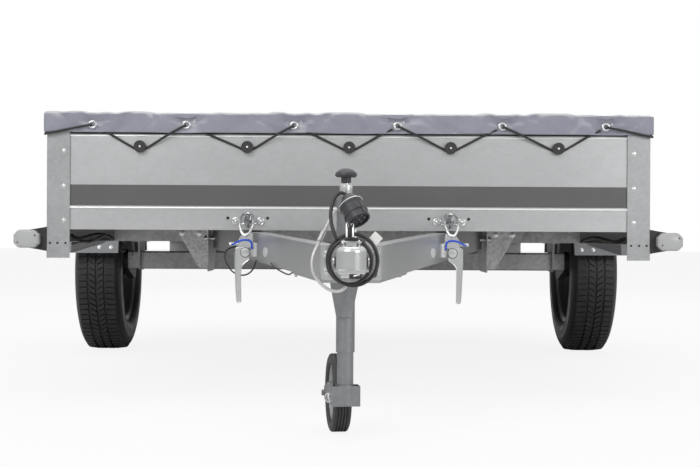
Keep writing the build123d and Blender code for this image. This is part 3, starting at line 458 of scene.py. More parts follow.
# dark steel for the swing arms, lamp brackets and small dark fittings; also painted shade in holes, round the
# latch rivets and under the cover hem
darkSteelAndShade = plainFinish("darkSteelAndShade", (0.03, 0.03, 0.032), (0.1, 0.1, 0.1), 0.5, 70.0, 0.45, 0.4)
stripePaint = plainFinish(
    "stripePaint", (0.105, 0.105, 0.107), (0.125, 0.125, 0.127), 0.4, 9.0, 0.36, 0.0, 0.1
)
amberLens = plainFinish("amberLens", (0.75, 0.20, 0.01), (0.5, 0.15, 0.02), 0.3, 60.0, 0.15, 0.0, 0.5)
blankTag = plainFinish("blankTag", (0.8, 0.8, 0.78), (0.6, 0.6, 0.6), 0.3, 60.0, 0.5)

for part in frame["record"]["subparts"]:
    skins = nodes[part["node"]].data.materials
    skins.clear()
    skins.append(finishes[part["material_slot"]])
ownFinishes = (
    (panelSheet, ("front_panel", "side_panel_left", "side_panel_right", "tailgate")),
    (postZinc, ("corner_posts_front", "corner_posts_rear")),
    (darkSteelAndShade, ("swing_arm_left", "swing_arm_right", "lamp_brackets")),
    (axleZincPaintedLight, ("axle_beam", "axle_brackets", "cross_members")),
    (jackZinc, ("jack_outer_tube", "jack_inner_tube", "jack_bracket", "jockey_fork")),
    (armZinc, ("drawbar_arm_left", "drawbar_arm_right", "drawbar_nose_plate")),
    (guardZincPaintedShade, ("mudguard_left", "mudguard_right")),
    (hangerZincPaintedLight, ("drawbar_hangers",)),
)
for finish, names in ownFinishes:
    for name in names:
        nodes[name].data.materials[0] = finish
print("finishes placed")


def cordCurve(name, points, diameter, slotName, body):
    piece = placed(name, roundCurve(name, points, diameter / 2, 4, 8))
    piece.data.materials.append(finishes[slotName])
    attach(piece, body)
    return piece


lead = {
    "diameter": 0.007,
    "length": 0.861,
    "entry": [(46, -742.4, 324), (46, -762, 324), (46.8, -780, 328), (47.2, -793, 335)],
    "rise": [
        (-27, -803, 392), (-33, -801, 407), (-38, -795, 423), (-40, -789, 440), (-38, -784, 457),
        (-33, -780, 473), (-24, -778, 484), (-13, -778, 483), (-9.2, -778, 474.9),
    ],
    "centre": (0, -803.05, 354.5),
    "startDegrees": -8.0,
    "sweepDegrees": 853.8,
    "steps": 34,
    "wide": 45.2,
    "loose": 4.8,
}


def leadTurn(share):  # two loose turns and a bit, hung over the coupling
    angle = math.radians(lead["startDegrees"] + share * lead["sweepDegrees"])
    wide = lead["wide"] + lead["loose"] * math.sin(share * 7.4 + 1.0)
    x, y, z = lead["centre"]
    across = wide * math.cos(angle) + 2.0 * math.sin(share * 9 + 0.5)
    return at(x + across, y + 4.2 * math.sin(share * 6.6 + 1.2), z + wide * 1.04 * math.sin(angle))


leadTurns = [leadTurn(step / lead["steps"]) for step in range(lead["steps"])]
leadPoints = [at(*spot) for spot in lead["entry"]] + leadTurns + [at(*spot) for spot in lead["rise"]]
leadPiece = cordCurve("towLead", leadPoints, lead["diameter"], "cable_black", "drawbar")
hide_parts("lead_coil", "lead_tail")

breakaway = {
    "diameter": 0.0064,
    "length": 0.268,
    "exit": (-0.0284, -1.45725, 0.4520),
    "points": [
        (-28.4, -700.6, 452), (-34, -712, 448), (-42, -730, 432), (-52, -748, 410), (-62, -762, 388),
        (-72, -770, 368), (-76, -774, 347), (-71, -776, 326), (-58, -778, 309), (-41, -779, 297),
        (-23, -780, 294), (-9, -780, 303), (-5, -779, 318), (-5, -779, 333.7),
    ],
}
points = [at(*spot) for spot in breakaway["points"]]
cordPiece = cordCurve("breakawayCable", points, breakaway["diameter"], "cable_clear", "drawbar")
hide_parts("breakaway_cable")

harness = {
    "diameter": 0.0038,
    "length": 0.233,
    "exit": (-0.2554, -0.72665, 0.3720),
    "points": [
        (-255.4, 30, 372), (-263, 18, 373), (-285, -5, 372), (-302, -25, 364), (-305, -45, 348),
        (-297, -60, 328),
        (-283, -70, 311), (-266, -76, 303), (-248, -83, 304), (-234, -91, 314), (-226, -98, 328),
        (-222.6, -102, 341),
    ],
}
points = [at(*spot) for spot in harness["points"]]
cordPiece = cordCurve("drawbarHarness", points, harness["diameter"], "cable_black", "drawbar")
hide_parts("drawbar_harness")

pinCord = {
    "diameter": 0.0044,
    "length": 0.0735,
    "points": [
        (283, -82.5, 379), (281, -90, 378), (275, -94.5, 381), (265, -94.6, 387),
        (250, -94.6, 390), (237, -94.6, 387), (234, -94.6, 377), (235, -94.6, 367),
    ],
}
for side, sign in (("left", -1), ("right", 1)):
    points = [at(sign * x, y, z) for x, y, z in pinCord["points"]]
    cordPiece = cordCurve("pinCord" + side.capitalize(), points, pinCord["diameter"], "cord_blue", "drawbar")
    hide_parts("pin_cord_" + side)
print("cords laid")

studio = {
    "roomLight": 0.44,
    "floorColour": (0.9, 0.9, 0.9, 1),
    "floorWhite": 0.87,
    "mirrorShare": 0.75,
    "lens": 69.517,
    "eye": (-0.020613, -4.115857, 0.405068),
    "turns": ((-0.00704, "Z"), (math.pi / 2 + 0.00029, "X"), (0.00514, "Z")),
    "lamps": {  # place, aim, size and watts
        "keyLight": ((-2.2, -4.6, 3.0), (0, -0.6, 0.4), (2.6, 1.8), 78),
        "fillLight": ((2.8, -4.2, 1.6), (0, -0.6, 0.4), (2.2, 1.8), 40),
        "topLight": ((0, -0.2, 4.2), (0, 0, 0.4), (3.4, 3.4), 52),
        "rearLight": ((0.5, 5.0, 3.0), (0, 0.5, 0.4), (3.0, 2.0), 40),
    },
}


def blend(tree, share, first, second, out):
    mix = addNode(tree, "MixShader", None, {"Fac": share, 1: first.outputs[0], 2: second.outputs[0]})
    give(tree, out.inputs["Surface"], mix.outputs[0])


floor = primitive(bpy.ops.mesh.primitive_plane_add, size=60, location=(0, 0, -0.0005))
floor.name = "studioFloor"
floorFinish, tree, shader, place = newFinish("studioFloor", 0.0, 0.2)
shader["Base Color"].default_value = studio["floorColour"]
shader["Roughness"].default_value = 0.9
path = addNode(tree, "LightPath").outputs
seen = mathOf(tree, "MAXIMUM", path["Is Camera Ray"], path["Is Transmission Ray"])
glow = addNode(tree, "Emission", None, {"Color": (1, 1, 1, 1), "Strength": 1.0})
share = mathOf(tree, "MULTIPLY", seen, studio["floorWhite"])
blend(tree, share, tree.nodes["Principled BSDF"], glow, tree.nodes["Material Output"])
floor.data.materials.append(floorFinish)

world = bpy.data.worlds.new("studioRoom")
bpy.context.scene.world = world
world.use_nodes = True
tree = world.node_tree
tree.nodes.clear()
path = addNode(tree, "LightPath").outputs
aim = addNode(tree, "SeparateXYZ", None, {0: addNode(tree, "TexCoord").outputs["Generated"]})
climb = addNode(
    tree, "MapRange", None,
    {"Value": aim.outputs["Z"], "From Min": -0.05, "From Max": 0.6, "To Min": 0.55, "To Max": 1.15}
)
white = mathOf(tree, "MAXIMUM", climb.outputs[0], path["Is Camera Ray"])
roomLight = addNode(tree, "Background", None, {"Color": (1, 1, 1, 1), "Strength": studio["roomLight"]})
backdrop = addNode(tree, "Background", None, {"Color": (1, 1, 1, 1), "Strength": white})
seen = mathOf(tree, "MAXIMUM", path["Is Camera Ray"], path["Is Transmission Ray"])
share = mathOf(tree, "MULTIPLY_ADD", path["Is Glossy Ray"], studio["mirrorShare"], seen)
blend(tree, share, roomLight, backdrop, addNode(tree, "OutputWorld"))

for name, (place, target, size, watts) in studio["lamps"].items():
    data = bpy.data.lights.new(name, "AREA")
    data.shape = "RECTANGLE"
    data.size, data.size_y = size
    data.energy = watts
    light = placed(name, data)
    light.location = place
    light.rotation_euler = (Vector(target) - Vector(place)).to_track_quat("-Z", "Y").to_euler()

bpy.context.scene.view_settings.view_transform = "Standard"
cameraData = bpy.data.cameras.new("camera")
cameraData.sensor_width = 36
cameraData.lens = studio["lens"]
camera = placed("camera", cameraData)
view = Matrix.Translation(studio["eye"])
for angle, axis in studio["turns"]:
    view = view @ Matrix.Rotation(angle, 4, axis)
camera.matrix_world = view
bpy.context.scene.camera = camera
print("stage set")

cover = {
    "halfWidth": 0.758,
    "front": at(0, -8, 0).y,
    "rear": at(0, 2368, 0).y,
    "flapLine": at(0, 2336, 0).y,
    "top": 0.7075,
    "hem": 0.654,
    "thick": 0.0016,
    "eyeletX": (-0.636, -0.404, -0.137, 0.1195, 0.380, 0.637),
    "eyeletZ": 0.673,
    "eyeletDrop": 0.62,  # share of the way from the top to the hem
}
randomSource = random.Random(7)
sideEyelets = [at(0, 130 + 262 * n, 0).y for n in range(9)]


def cutAcross(piece, axis, places):
    pick(piece)
    normal = [0, 0, 0]
    normal[axis] = 1
    bpy.ops.object.mode_set(mode="EDIT")
    for spot in places:
        bpy.ops.mesh.select_all(action="SELECT")
        bpy.ops.mesh.bisect(plane_co=Vector(normal) * spot, plane_no=normal)
    bpy.ops.object.mode_set(mode="OBJECT")


def coverShape(low, high, openSide):
    hem, top = cover["hem"], cover["top"]
    centre = ((low[0] + high[0]) / 2, (low[1] + high[1]) / 2, (hem + top) / 2)
    size = (high[0] - low[0], high[1] - low[1], top - hem)
    piece = primitive(bpy.ops.mesh.primitive_cube_add, size, size=1, location=centre)
    bpy.ops.object.mode_set(mode="EDIT")
    bpy.ops.mesh.select_all(action="DESELECT")
    bpy.ops.object.mode_set(mode="OBJECT")
    for face in piece.data.polygons:
        face.select = face.normal.z < -0.5 or (openSide * face.normal.y > 0.5)
    bpy.ops.object.mode_set(mode="EDIT")
    bpy.ops.mesh.delete(type="FACE")
    bpy.ops.mesh.select_all(action="SELECT")
    bpy.ops.object.mode_set(mode="OBJECT")
    return piece


def spaced(low, high, step):
    count = max(1, round((high - low) / step))
    return [low + (high - low) * n / count for n in range(1, count)]


def rippled(value, *waves):
    return sum(size * math.sin(value * rate + phase) for size, rate, phase in waves)


def hump(away, wide):
    return math.exp(-((away / wide) ** 2))


folds = []  # place along the hem, lean, depth and width of each crease in the front and rear flaps
for n in range(34):
    place, lean = randomSource.uniform(-0.75, 0.75), randomSource.uniform(-1.3, 1.3)
    folds.append((place, lean, randomSource.uniform(0.0014, 0.0050), randomSource.uniform(0.004, 0.013)))


def flapDepth(x, drop, eyelets):
    depth = 0.0022 * math.sin(x * 21 + 0.6) * drop + 0.0016 * math.sin(x * 47 + 3.0 * drop)
    above = cover["eyeletDrop"] - drop
    for eyelet in eyelets:
        away = x - eyelet
        depth += 0.0075 * hump(away, 0.026) * (0.25 + 0.75 * math.sin(math.pi * min(1, drop * 1.05)))
        for lean in (-0.1, -0.045, 0.055, 0.11):  # creases that fan out from the eyelet to the top edge
            if above > 0:
                line = lean * above / cover["eyeletDrop"]
                depth += 0.0068 * hump(away - line, 0.0045 + 0.012 * above) * (0.5 + drop)
    for place, lean, size, wide in folds:
        depth += size * hump(x - place - lean * 0.09 * (drop - 0.5), wide)
    return depth


def flapPush(x, drop, eyelets):
    hold = 1.0  # the cloth stays behind each eyelet ring
    for eyelet in eyelets:
        hold *= 1 - 0.75 * hump(x - eyelet, 0.011) * hump(drop - 0.64, 0.2)
    return max(-0.003, flapDepth(x, drop, eyelets)) * (0.45 + 0.55 * min(1, drop * 2.5)) * hold


def topDip(x, y, edge, eyelets):
    dip = 0.0018 + 0.0022 * math.sin(x * 11 + y * 9) + 0.0014 * math.sin(x * 37 - y * 23)
    for eyelet in eyelets:
        away = x - eyelet
        left, right = hump(away + 0.07, 0.016), hump(away - 0.055, 0.013)
        dip += 0.0060 * hump(away, 0.022) + 0.0035 * right + 0.003 * left
    return max(0.0, dip) * hump(edge, 0.03)


def drape(piece, low, high):
    frontEyelets = cover["eyeletX"]
    for vertex in piece.data.vertices:
        x, y, z = vertex.co
        drop = min(1.0, (cover["top"] - z) / (cover["top"] - cover["hem"]))
        edge = min(x - low[0], high[0] - x, y - cover["front"], cover["rear"] - y)
        if drop < 0.12:
            sag = 0.0018 + rippled(x, (0.0010, 9.0, 0.3), (0.0006, 23.0, 1.0))
            sag += rippled(y, (0.0010, 7.0, 1.2), (0.0005, 17.0, 0.2))
            vertex.co.z -= min(1.0, max(0.0, edge) / 0.25) * sag
            vertex.co.z -= topDip(x, y, edge, frontEyelets if y < 0 else [-e for e in frontEyelets])
        if abs(x) < cover["halfWidth"] - 0.02:
            if y < cover["front"] + 0.012:
                vertex.co.y += flapPush(x, drop, frontEyelets)
            elif y > cover["rear"] - 0.012:
                vertex.co.y -= flapPush(-x, drop, frontEyelets)
        if drop > 0.95:
            vertex.co.z += 0.0014 * (rippled(x + y, (0.6, 12.3, 0.4), (0.5, 29.0, 1.4)) + 0.5)
        if abs(x) > cover["halfWidth"] - 0.012 and cover["front"] + 0.02 < y < cover["rear"] - 0.02:
            depth = 0.0012 * drop * (1 + math.sin(y * 24.0)) + 0.0008 * math.sin(y * 61.0)
            for place in sideEyelets:
                depth += 0.0038 * hump(y - place, 0.022) * (0.25 + 0.75 * math.sin(math.pi * drop))
            vertex.co.x -= math.copysign(max(-0.001, depth), x)


def makeCover(name, low, high, openSide, body, node):
    piece = coverShape(low, high, openSide)
    cutAcross(piece, 2, spaced(cover["hem"], cover["top"] - 0.0145, 0.0062))
    cutAcross(piece, 0, spaced(low[0], high[0], 0.0085))
    cutAcross(piece, 1, spaced(low[1] + 0.0145, high[1] - 0.0145, 0.024))
    soften(piece, 0.013, 5, 60)
    drape(piece, low, high)
    thicken = piece.modifiers.new("thick", "SOLIDIFY")
    thicken.thickness = cover["thick"]
    thicken.offset = -1
    settle(piece, name, finishes["cover_fabric"], body, 60)
    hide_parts(node)
    return piece


halfWidth, flapLine = cover["halfWidth"], cover["flapLine"]
coverPiece = makeCover(
    "flatCover", (-halfWidth, cover["front"]), (halfWidth, flapLine - 0.0003), 1, "trailer", "cover"
)
makeCover(
    "coverRearFlap", (-halfWidth, flapLine), (halfWidth, cover["rear"]), -1, "tailgate", "cover_rear_flap"
)
print("cover draped")

eyelet = {"outer": 0.0105, "inner": 0.0052, "proud": 0.0002}
ring = hoop((eyelet["outer"] + eyelet["inner"]) / 2, (eyelet["outer"] - eyelet["inner"]) / 2, 36, 12)
ring.data.transform(Matrix.Diagonal((1, 1, 0.55, 1)))
facingFront = Matrix.Rotation(math.pi / 2, 4, "X")
facingSide = Matrix.Rotation(math.pi / 2, 4, "Y")
eyeletZ, proud = cover["eyeletZ"], eyelet["proud"]
frontRings = [
    copyTo(ring, Matrix.Translation((x, cover["front"] - proud, eyeletZ)) @ facingFront)
    for x in cover["eyeletX"]
]
for x in (-halfWidth - proud, halfWidth + proud):
    frontRings += [copyTo(ring, Matrix.Translation((x, y, eyeletZ)) @ facingSide) for y in sideEyelets]
settle(joined(frontRings), "coverEyelets", brightZinc, "trailer")
rearRings = [
    copyTo(ring, Matrix.Translation((-x, cover["rear"] + proud, eyeletZ)) @ facingFront)
    for x in cover["eyeletX"]
]
settle(joined(rearRings), "flapEyelets", brightZinc, "tailgate")
discard(ring)

stripe = {"low": 0.4727, "high": 0.5245, "thick": 0.00025, "half": 0.6925, "front": 4.1}
frontY = at(0, stripe["front"], 0).y
band = block(
    (-stripe["half"], frontY - stripe["thick"], stripe["low"]),
    (stripe["half"], frontY + 0.00002, stripe["high"])
)
settle(band, "frontStripe", stripePaint, "trailer")
for side, sign in (("left", -1), ("right", 1)):
    lowCorner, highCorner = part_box("side_panel_" + side)
    inner, outer = sorted((sign * 0.7459, sign * (0.7459 + stripe["thick"])))
    band = block((inner, lowCorner.y + 0.004, stripe["low"]), (outer, highCorner.y - 0.004, stripe["high"]))
    settle(band, "sideStripe" + side.capitalize(), stripePaint, "trailer")
print("stripes painted")


def domeTemplate():
    head = primitive(bpy.ops.mesh.primitive_uv_sphere_add, (1, 1, 0.45), segments=20, ring_count=10, radius=1)
    bpy.ops.object.mode_set(mode="EDIT")
    bpy.ops.mesh.select_all(action="SELECT")
    bpy.ops.mesh.bisect(plane_co=(0, 0, 0), plane_no=(0, 0, 1), clear_inner=True, use_fill=True)
    bpy.ops.object.mode_set(mode="OBJECT")
    return joined([head, bar(Vector((0, 0, -0.12)), Vector((0, 0, 0.06)), 1.35, 24, 0.05)])


def hexTemplate():
    washer = bar(Vector((0, 0, 0)), Vector((0, 0, 0.22)), 1.35, 28, 0.04)
    head = bar(Vector((0, 0, 0.2)), Vector((0, 0, 0.95)), 1.0, 6, 0.08)
    shank = bar(Vector((0, 0, 0.9)), Vector((0, 0, 1.35)), 0.5, 20, 0.08)
    return joined([head, washer, shank])


def copiesAt(template, spots, size):
    grown = Matrix.Scale(size, 4)
    return [
        copyTo(template, Matrix.Translation(spot) @ facing(direction) @ grown) for spot, direction in spots
    ]


def placeAll(template, spots, size, name, finish, body):
    return settle(joined(copiesAt(template, spots, size)), name, finish, body, 40)


dome, nut = domeTemplate(), hexTemplate()
screw = {
    "post": 0.0046, "small": 0.0030, "bolt": 0.0062, "guard": 0.0055, "wheel": 0.0115,
    "postRows": (607, 520, 435)
}
postScrews = []
for z in screw["postRows"]:
    for x in (-708, 708):
        postScrews += [(at(x, 0, z), frontward), (at(x, 2360, z), rearward)]
    for x in (-750, 750):
        postScrews += [(at(x, y, z), (x, 0, 0)) for y in (40, 2320)]
placeAll(dome, postScrews, screw["post"], "postScrews", brightZinc, "trailer")
hangerBolts = [(at(x, 600, 405), frontward) for x in (-484, -434, 434, 484)]
placeAll(nut, hangerBolts, screw["bolt"], "hangerBolts", paleZincAndHighlight, "trailer")
lampScrews = [
    (at(x + shift, -27.6, 389 + rise), frontward) for x in (-795, 795) for shift, rise in ((-20, -8), (21, 8))
]
placeAll(dome, lampScrews, screw["small"], "lampScrews", darkSteelAndShade, "trailer")
couplingBolts = [(at(x, -742, z), frontward) for x in (-47, 47) for z in (366, 332)]
placeAll(nut, couplingBolts, screw["bolt"], "couplingBolts", brightZinc, "drawbar")
buttonScrews = [(at(x, -10, 619), frontward) for x in (-519, -253, 0, 252, 520)]
placeAll(dome, buttonScrews, screw["small"], "buttonScrews", brightZinc, "trailer")

wheel = {
    "x": 830,
    "y": 1400,
    "z": 274.5,
    "nutX": 859,
    "nutCircle": 50,
    "guard": 338.2,
    # outline of the dark triangle that paints the shade on each mudguard front
    "shadeTriangle": [(63, -18), (63, 19), (-50, 19)],
    "guardFrontFacing": (0, -0.97, 0.24),
}


def roundWheel(x, radius, degrees):
    angle = math.radians(degrees)
    return at(x, wheel["y"] + radius * math.cos(angle), wheel["z"] + radius * math.sin(angle))


for side, sign in (("Left", -1), ("Right", 1)):
    spots = [
        (roundWheel(sign * wheel["nutX"], wheel["nutCircle"], turn), (sign, 0, 0))
        for turn in (45, 135, 225, 315)
    ]
    placeAll(nut, spots, screw["wheel"], "wheelNuts" + side, brightZinc, "wheel_" + side.lower())
print("bolts set")

lamp = {"x": 795, "z": 389, "half": (31, 21.5), "corner": 11, "front": -28}


def octagon(w, h, c):
    return inMetres(
        [(w, c - h), (w, h - c), (w - c, h), (c - w, h), (-w, h - c), (-w, c - h), (c - w, -h), (w - c, -h)]
    )


def lampPieces():
    lenses, seals = [], []
    wide, high = lamp["half"]
    for x in (-lamp["x"], lamp["x"]):
        front = at(x, lamp["front"], lamp["z"])
        face = flatPlate(octagon(wide - 8, high - 7, lamp["corner"] - 3), 0.004, 0.0012)
        lenses.append(moved(face, front + Vector((0, 0.0012, 0)), frontward))
        edge = flatPlate(octagon(wide + 0.8, high + 0.8, lamp["corner"]), 0.004, 0.0008)
        seals.append(moved(edge, front + Vector((0, 0.0245, 0)), frontward))
    settle(joined(lenses), "lampFaces", finishes["lamp_lens"], "trailer")
    settle(joined(seals), "lampSeals", blackPlastic, "trailer")


lampPieces()

catch = {
    "x": 250,
    "y": 2.4,
    "z": 440,
    "foot": (-94, 401),
    "wire": 0.0030,
    "ear": (0.031, -0.005),
    "scroll": [
        (6, -9), (14, -13), (21, -10), (21.5, -2), (26, 3.5), (34, 3.5), (39.5, -2), (38.5, -10), (33, -13.5)
    ],
    "loop": [
        (-0.004, 0.0), (0.004, 0.0), (0.0135, 0.08), (0.0165, 0.36), (0.0155, 0.66), (0.009, 0.92),
        (0.002, 1.02), (-0.002, 1.02), (-0.009, 0.92), (-0.0155, 0.66), (-0.0165, 0.36), (-0.0135, 0.08),
    ],
}


def catchPieces():
    plates, ovals, bolts, hoops = [], [], [], []
    for x in (-catch["x"], catch["x"]):
        back = at(x, catch["y"], catch["z"])
        ringTurns = [math.radians(n * 15) for n in range(24)]
        shield = [(0.012 * math.cos(turn), 0.014 * math.sin(turn)) for turn in ringTurns]
        plates.append(moved(flatPlate(shield, 0.0034, 0.0008), back, frontward))
        for corner in ((0.006, 0, 0.001), (0.006, -0.0125, 0.008)):
            plates.append(block(back + Vector((-0.006, -0.015, -0.003)), back + Vector(corner), 0.0008))
        for side in (-1, 1):
            across, rise = catch["ear"]
            ear = back + Vector((side * across, 0, rise))
            face = ear + Vector((0, -0.0026, 0))
            plates.append(bar(ear, face, 0.0078, 28, 0.0008))
            plates.append(
                strand([back + Vector((side * u, -0.0018, v)) for u, v in inMetres(catch["scroll"])], 0.0019)
            )
            bolts.append((face, frontward))
        oval = primitive(
            bpy.ops.mesh.primitive_uv_sphere_add, (0.0098, 0.004, 0.0185), segments=28, ring_count=16,
            radius=1
        )
        ovals.append(moved(oval, back + Vector((0, -0.0165, -0.003))))
        top, foot = back + Vector((0, -0.0215, 0.0150)), at(x, *catch["foot"])
        loop = [
            top.lerp(foot, v) + Vector((u, -0.018 * math.sin(math.pi * min(1, v)), 0))
            for u, v in catch["loop"]
        ]
        hoops.append(strand(loop, catch["wire"], True))
    plate = settle(joined(plates), "catchScrolls", brightZinc, "trailer")
    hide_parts("catch_plates")
    settle(joined(ovals), "catchOvals", darkChrome, "trailer")
    wire = settle(joined(hoops), "latchHoops", brightZinc, "trailer")
    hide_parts("latch_loops")
    placeAll(dome, bolts, screw["post"], "catchBolts", brightZinc, "trailer")


catchPieces()

latch = {
    "x": 250,
    "y": -92,
    "z": 359,
    "edge": [
        (-9.4, -16), (-9.4, 6), (-5, 11.5), (8, 12.4), (21, 12.4), (24.4, 6), (24.4, -30), (22.6, -76),
        (20.4, -119),
        (17, -121), (12, -121), (9.6, -118), (10.6, -78), (11, -40), (7, -31), (0, -24), (-7, -19),
    ],
    "fold": [(-17, 12), (-17, 44), (-10, 46), (2, 44.5), (10, 38), (17, 27), (17, 12)],
}


def latchPieces():
    rims, shells, dark = [], [], []
    x, y, z = latch["x"], latch["y"], latch["z"]
    for sign in (-1, 1):
        pivot = at(sign * x, y - 7, z)
        dark.append(moved(hoop(0.0116, 0.0008, 40), pivot + Vector((0, -0.0005, 0)), frontward))
        rims.append(bar(pivot + Vector((0, -0.002, 0)), pivot + Vector((0, -0.0042, 0)), 0.0098, 36, 0.0009))
        hole = at(sign * (x - 8), y - 0.2, z + 30)
        dark.append(bar(hole, hole + Vector((0, 0.0006, 0)), 0.0022, 20))
        rims.append(strand([at(sign * (x + u), y - 6.6, z + v) for u, v in latch["edge"]], 0.0012, True, 2))
        shells.append(strand([at(sign * (x + u), y + 1.4, z + v) for u, v in latch["fold"]], 0.0021))
        stub = at(sign * (x + 31), y + 16, z + 20)
        rims.append(bar(stub, stub + Vector((sign * 0.010, 0, 0)), 0.0044, 24, 0.0012))
    settle(joined(rims), "latchRims", brightZinc, "drawbar")
    settle(joined(shells), "latchFolds", brightZinc, "drawbar")
    settle(joined(dark), "latchRivetShades", darkSteelAndShade, "drawbar")


latchPieces()

coupling = {
    "dome": (0, -806, 381), "neck": (-9, 3), "ears": (-14.5, 14.5), "lip": -869, "bolt": (31, -800, 352)
}


def couplingPieces():
    cap = lathe(
        [(0.0001, 0), (0.0185, 0), (0.0195, 0.001), (0.0195, 0.0022), (0.0165, 0.003), (0.0001, 0.003)], 40
    )
    bright = [moved(cap, at(*coupling["dome"]))]
    for x in coupling["ears"]:
        bright.append(block(at(x - 1.5, -826, 380), at(x + 1.5, -796, 394), 0.0012))
    bright.append(bar(at(-19, -812, 389), at(19, -812, 389), 0.0032, 20, 0.0006))
    lip = coupling["lip"]
    jaw = flatPlate(inMetres([(-26, -4), (26, -4), (23, 4), (-23, 4)]), 0.0022, 0.0005)
    bright.append(moved(jaw, at(0, lip, 335), frontward))
    dark = [block(at(-20, lip - 0.6, 322), at(20, lip + 3.8, 333.6), 0.0012)]
    bright.append(block(at(-20, lip - 1.2, 323), at(-4, lip, 332), 0.0004))
    bright.append(bar(at(4, lip - 0.5, 327), at(15, lip - 1.2, 330), 0.0018, 16, 0.0004))
    reach, y, z = coupling["bolt"]
    for x in (-reach, reach):
        face = at(x, y, z)
        bright.append(bar(face, at(x + math.copysign(5, x), y, z), 0.0075, 6, 0.0009))
        dark.append(bar(at(x * 0.9, y, z), face, 0.0105, 28, 0.0006))
    for x in coupling["neck"]:  # the handle stands up from the dome and leans back under the plug
        bright.append(bar(at(x, -808, 383), at(x, -800, 424), 0.0023, 16, 0.0006))
    bright.append(block(at(-10, -800, 419), at(4, -797, 427), 0.0012))
    dark.append(block(at(-6.6, -803, 386), at(0.6, -799.5, 418), 0.0008))
    settle(joined(bright), "couplingFittings", brightZinc, "drawbar")
    settle(joined(dark), "couplingJaw", darkSteelAndShade, "drawbar")


couplingPieces()

plug = {
    "top": (-9.1, -777.0, 474.6),
    "along": (0.42, -0.50, -0.757),
    "long": 0.058,
    "radius": 0.0238,
    "ribs": 7,
    "pinCircle": 0.0112,
    "boot": [
        (0.1, -4), (6.2, -4), (7.5, 0), (7.2, 4), (8.8, 7), (8.6, 11), (10.8, 15), (10.8, 20), (0.1, 20)
    ],
}


def plugPieces():
    top, along = at(*plug["top"]), Vector(plug["along"]).normalized()
    r, long = plug["radius"], plug["long"]
    thin, thick, mouth, well = r - 0.0012, r + 0.0006, r - 0.0016, r - 0.0046
    profile = [
        (0.0001, 0), (0.011, 0), (0.0135, 0.004), (0.0150, 0.008), (0.0205, 0.012), (thin, 0.016),
        (thin, 0.020),
        (r, 0.021), (r, 0.024), (thin, 0.025), (thin, 0.040), (thick, 0.041), (thick, 0.044), (mouth, 0.045),
        (mouth, long), (well, long), (well, long - 0.006), (0.0001, long - 0.006),
    ]
    shell = [moved(lathe(profile, 56), top, along)]
    key = block((-0.004, 0.0, 0.045), (0.004, 0.0035, long), 0.0008)
    shell.append(moved(moved(key, (0, r - 0.003, 0)), top, along))
    for n in range(plug["ribs"]):  # grip ribs on the back half
        angle = 2 * math.pi * n / plug["ribs"]
        rib = block((-0.0012, -0.0006, 0.026), (0.0012, 0.0008, 0.040), 0.0004)
        rib = moved(rib, (math.sin(angle) * (r - 0.001), math.cos(angle) * (r - 0.001), 0), None, -angle)
        shell.append(moved(rib, top, along))
    whole = settle(joined(shell), "towPlug", finishes["plug_plastic"], "drawbar")
    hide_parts("lead_plug")
    pins, sleeves = [], []
    for n in range(7):
        angle = math.pi * 2 * n / 6
        reach = plug["pinCircle"] if n < 6 else 0.0
        spot = Vector((math.sin(angle) * reach, math.cos(angle) * reach, long - 0.0062))
        sleeves.append(moved(moved(hoop(0.0036, 0.0008, 20), spot + Vector((0, 0, 0.0042))), top, along))
        pin = bar(Vector((0, 0, 0)), Vector((0, 0, 0.0035)), 0.0016, 14, 0.0003)
        pins.append(moved(moved(pin, spot), top, along))
    settle(joined(sleeves), "plugSleeves", blackPlastic, "drawbar")
    settle(joined(pins), "plugPins", brightZinc, "drawbar")
    ring = moved(hoop(r + 0.0002, 0.0013, 48, 10), top + along * 0.0185, along)
    settle(ring, "plugBand", brightZinc, "drawbar")
    boot = moved(lathe(inMetres(plug["boot"]), 32), top - along * 0.014, along)
    settle(boot, "plugBoot", finishes["plug_plastic"], "drawbar")


plugPieces()

tag = {"wide": 0.0145, "high": 0.010, "place": (43, -797, 393), "turns": ((-12, "Z"), (-48, "Y"), (90, "X"))}
wide, high = tag["wide"], tag["high"]
piece = flatPlate([(-wide, -high), (wide, -high), (wide, high), (-wide, high)], 0.0008, 0.0002)
lie = Matrix.Translation(at(*tag["place"]))
for degrees, axis in tag["turns"]:
    lie = lie @ Matrix.Rotation(math.radians(degrees), 4, axis)
piece.data.transform(lie)
settle(piece, "leadTag", blankTag, "drawbar")

# thin pale discs on the outer face of each drawbar arm: painted highlight
armFace = {"y": -190, "reach": 0.026, "high": 0.0115, "thick": 0.0012, "angle": 14.1, "out": 0.0192}
discs = []
for sign in (-1, 1):
    back = armFace["y"] + 736  # along the arm from its front end
    turn = math.radians(armFace["angle"])
    away = Vector((sign * math.cos(turn), -math.sin(turn), 0))
    along = Vector((sign * math.sin(turn), math.cos(turn), 0))
    spot = at(sign * (41 + back * 332 / 1322), armFace["y"], 342 + back * 0.0349) + away * armFace["out"]
    disc = primitive(
        bpy.ops.mesh.primitive_cylinder_add, (armFace["reach"], armFace["high"], armFace["thick"]),
        vertices=48, radius=1, depth=1
    )
    disc.data.transform(
        Matrix.Translation(spot) @ Matrix((along, away.cross(along), away)).transposed().to_4x4()
    )
    discs.append(weld(disc))
settle(joined(discs), "armHighlightDiscs", paleZincAndHighlight, "drawbar")

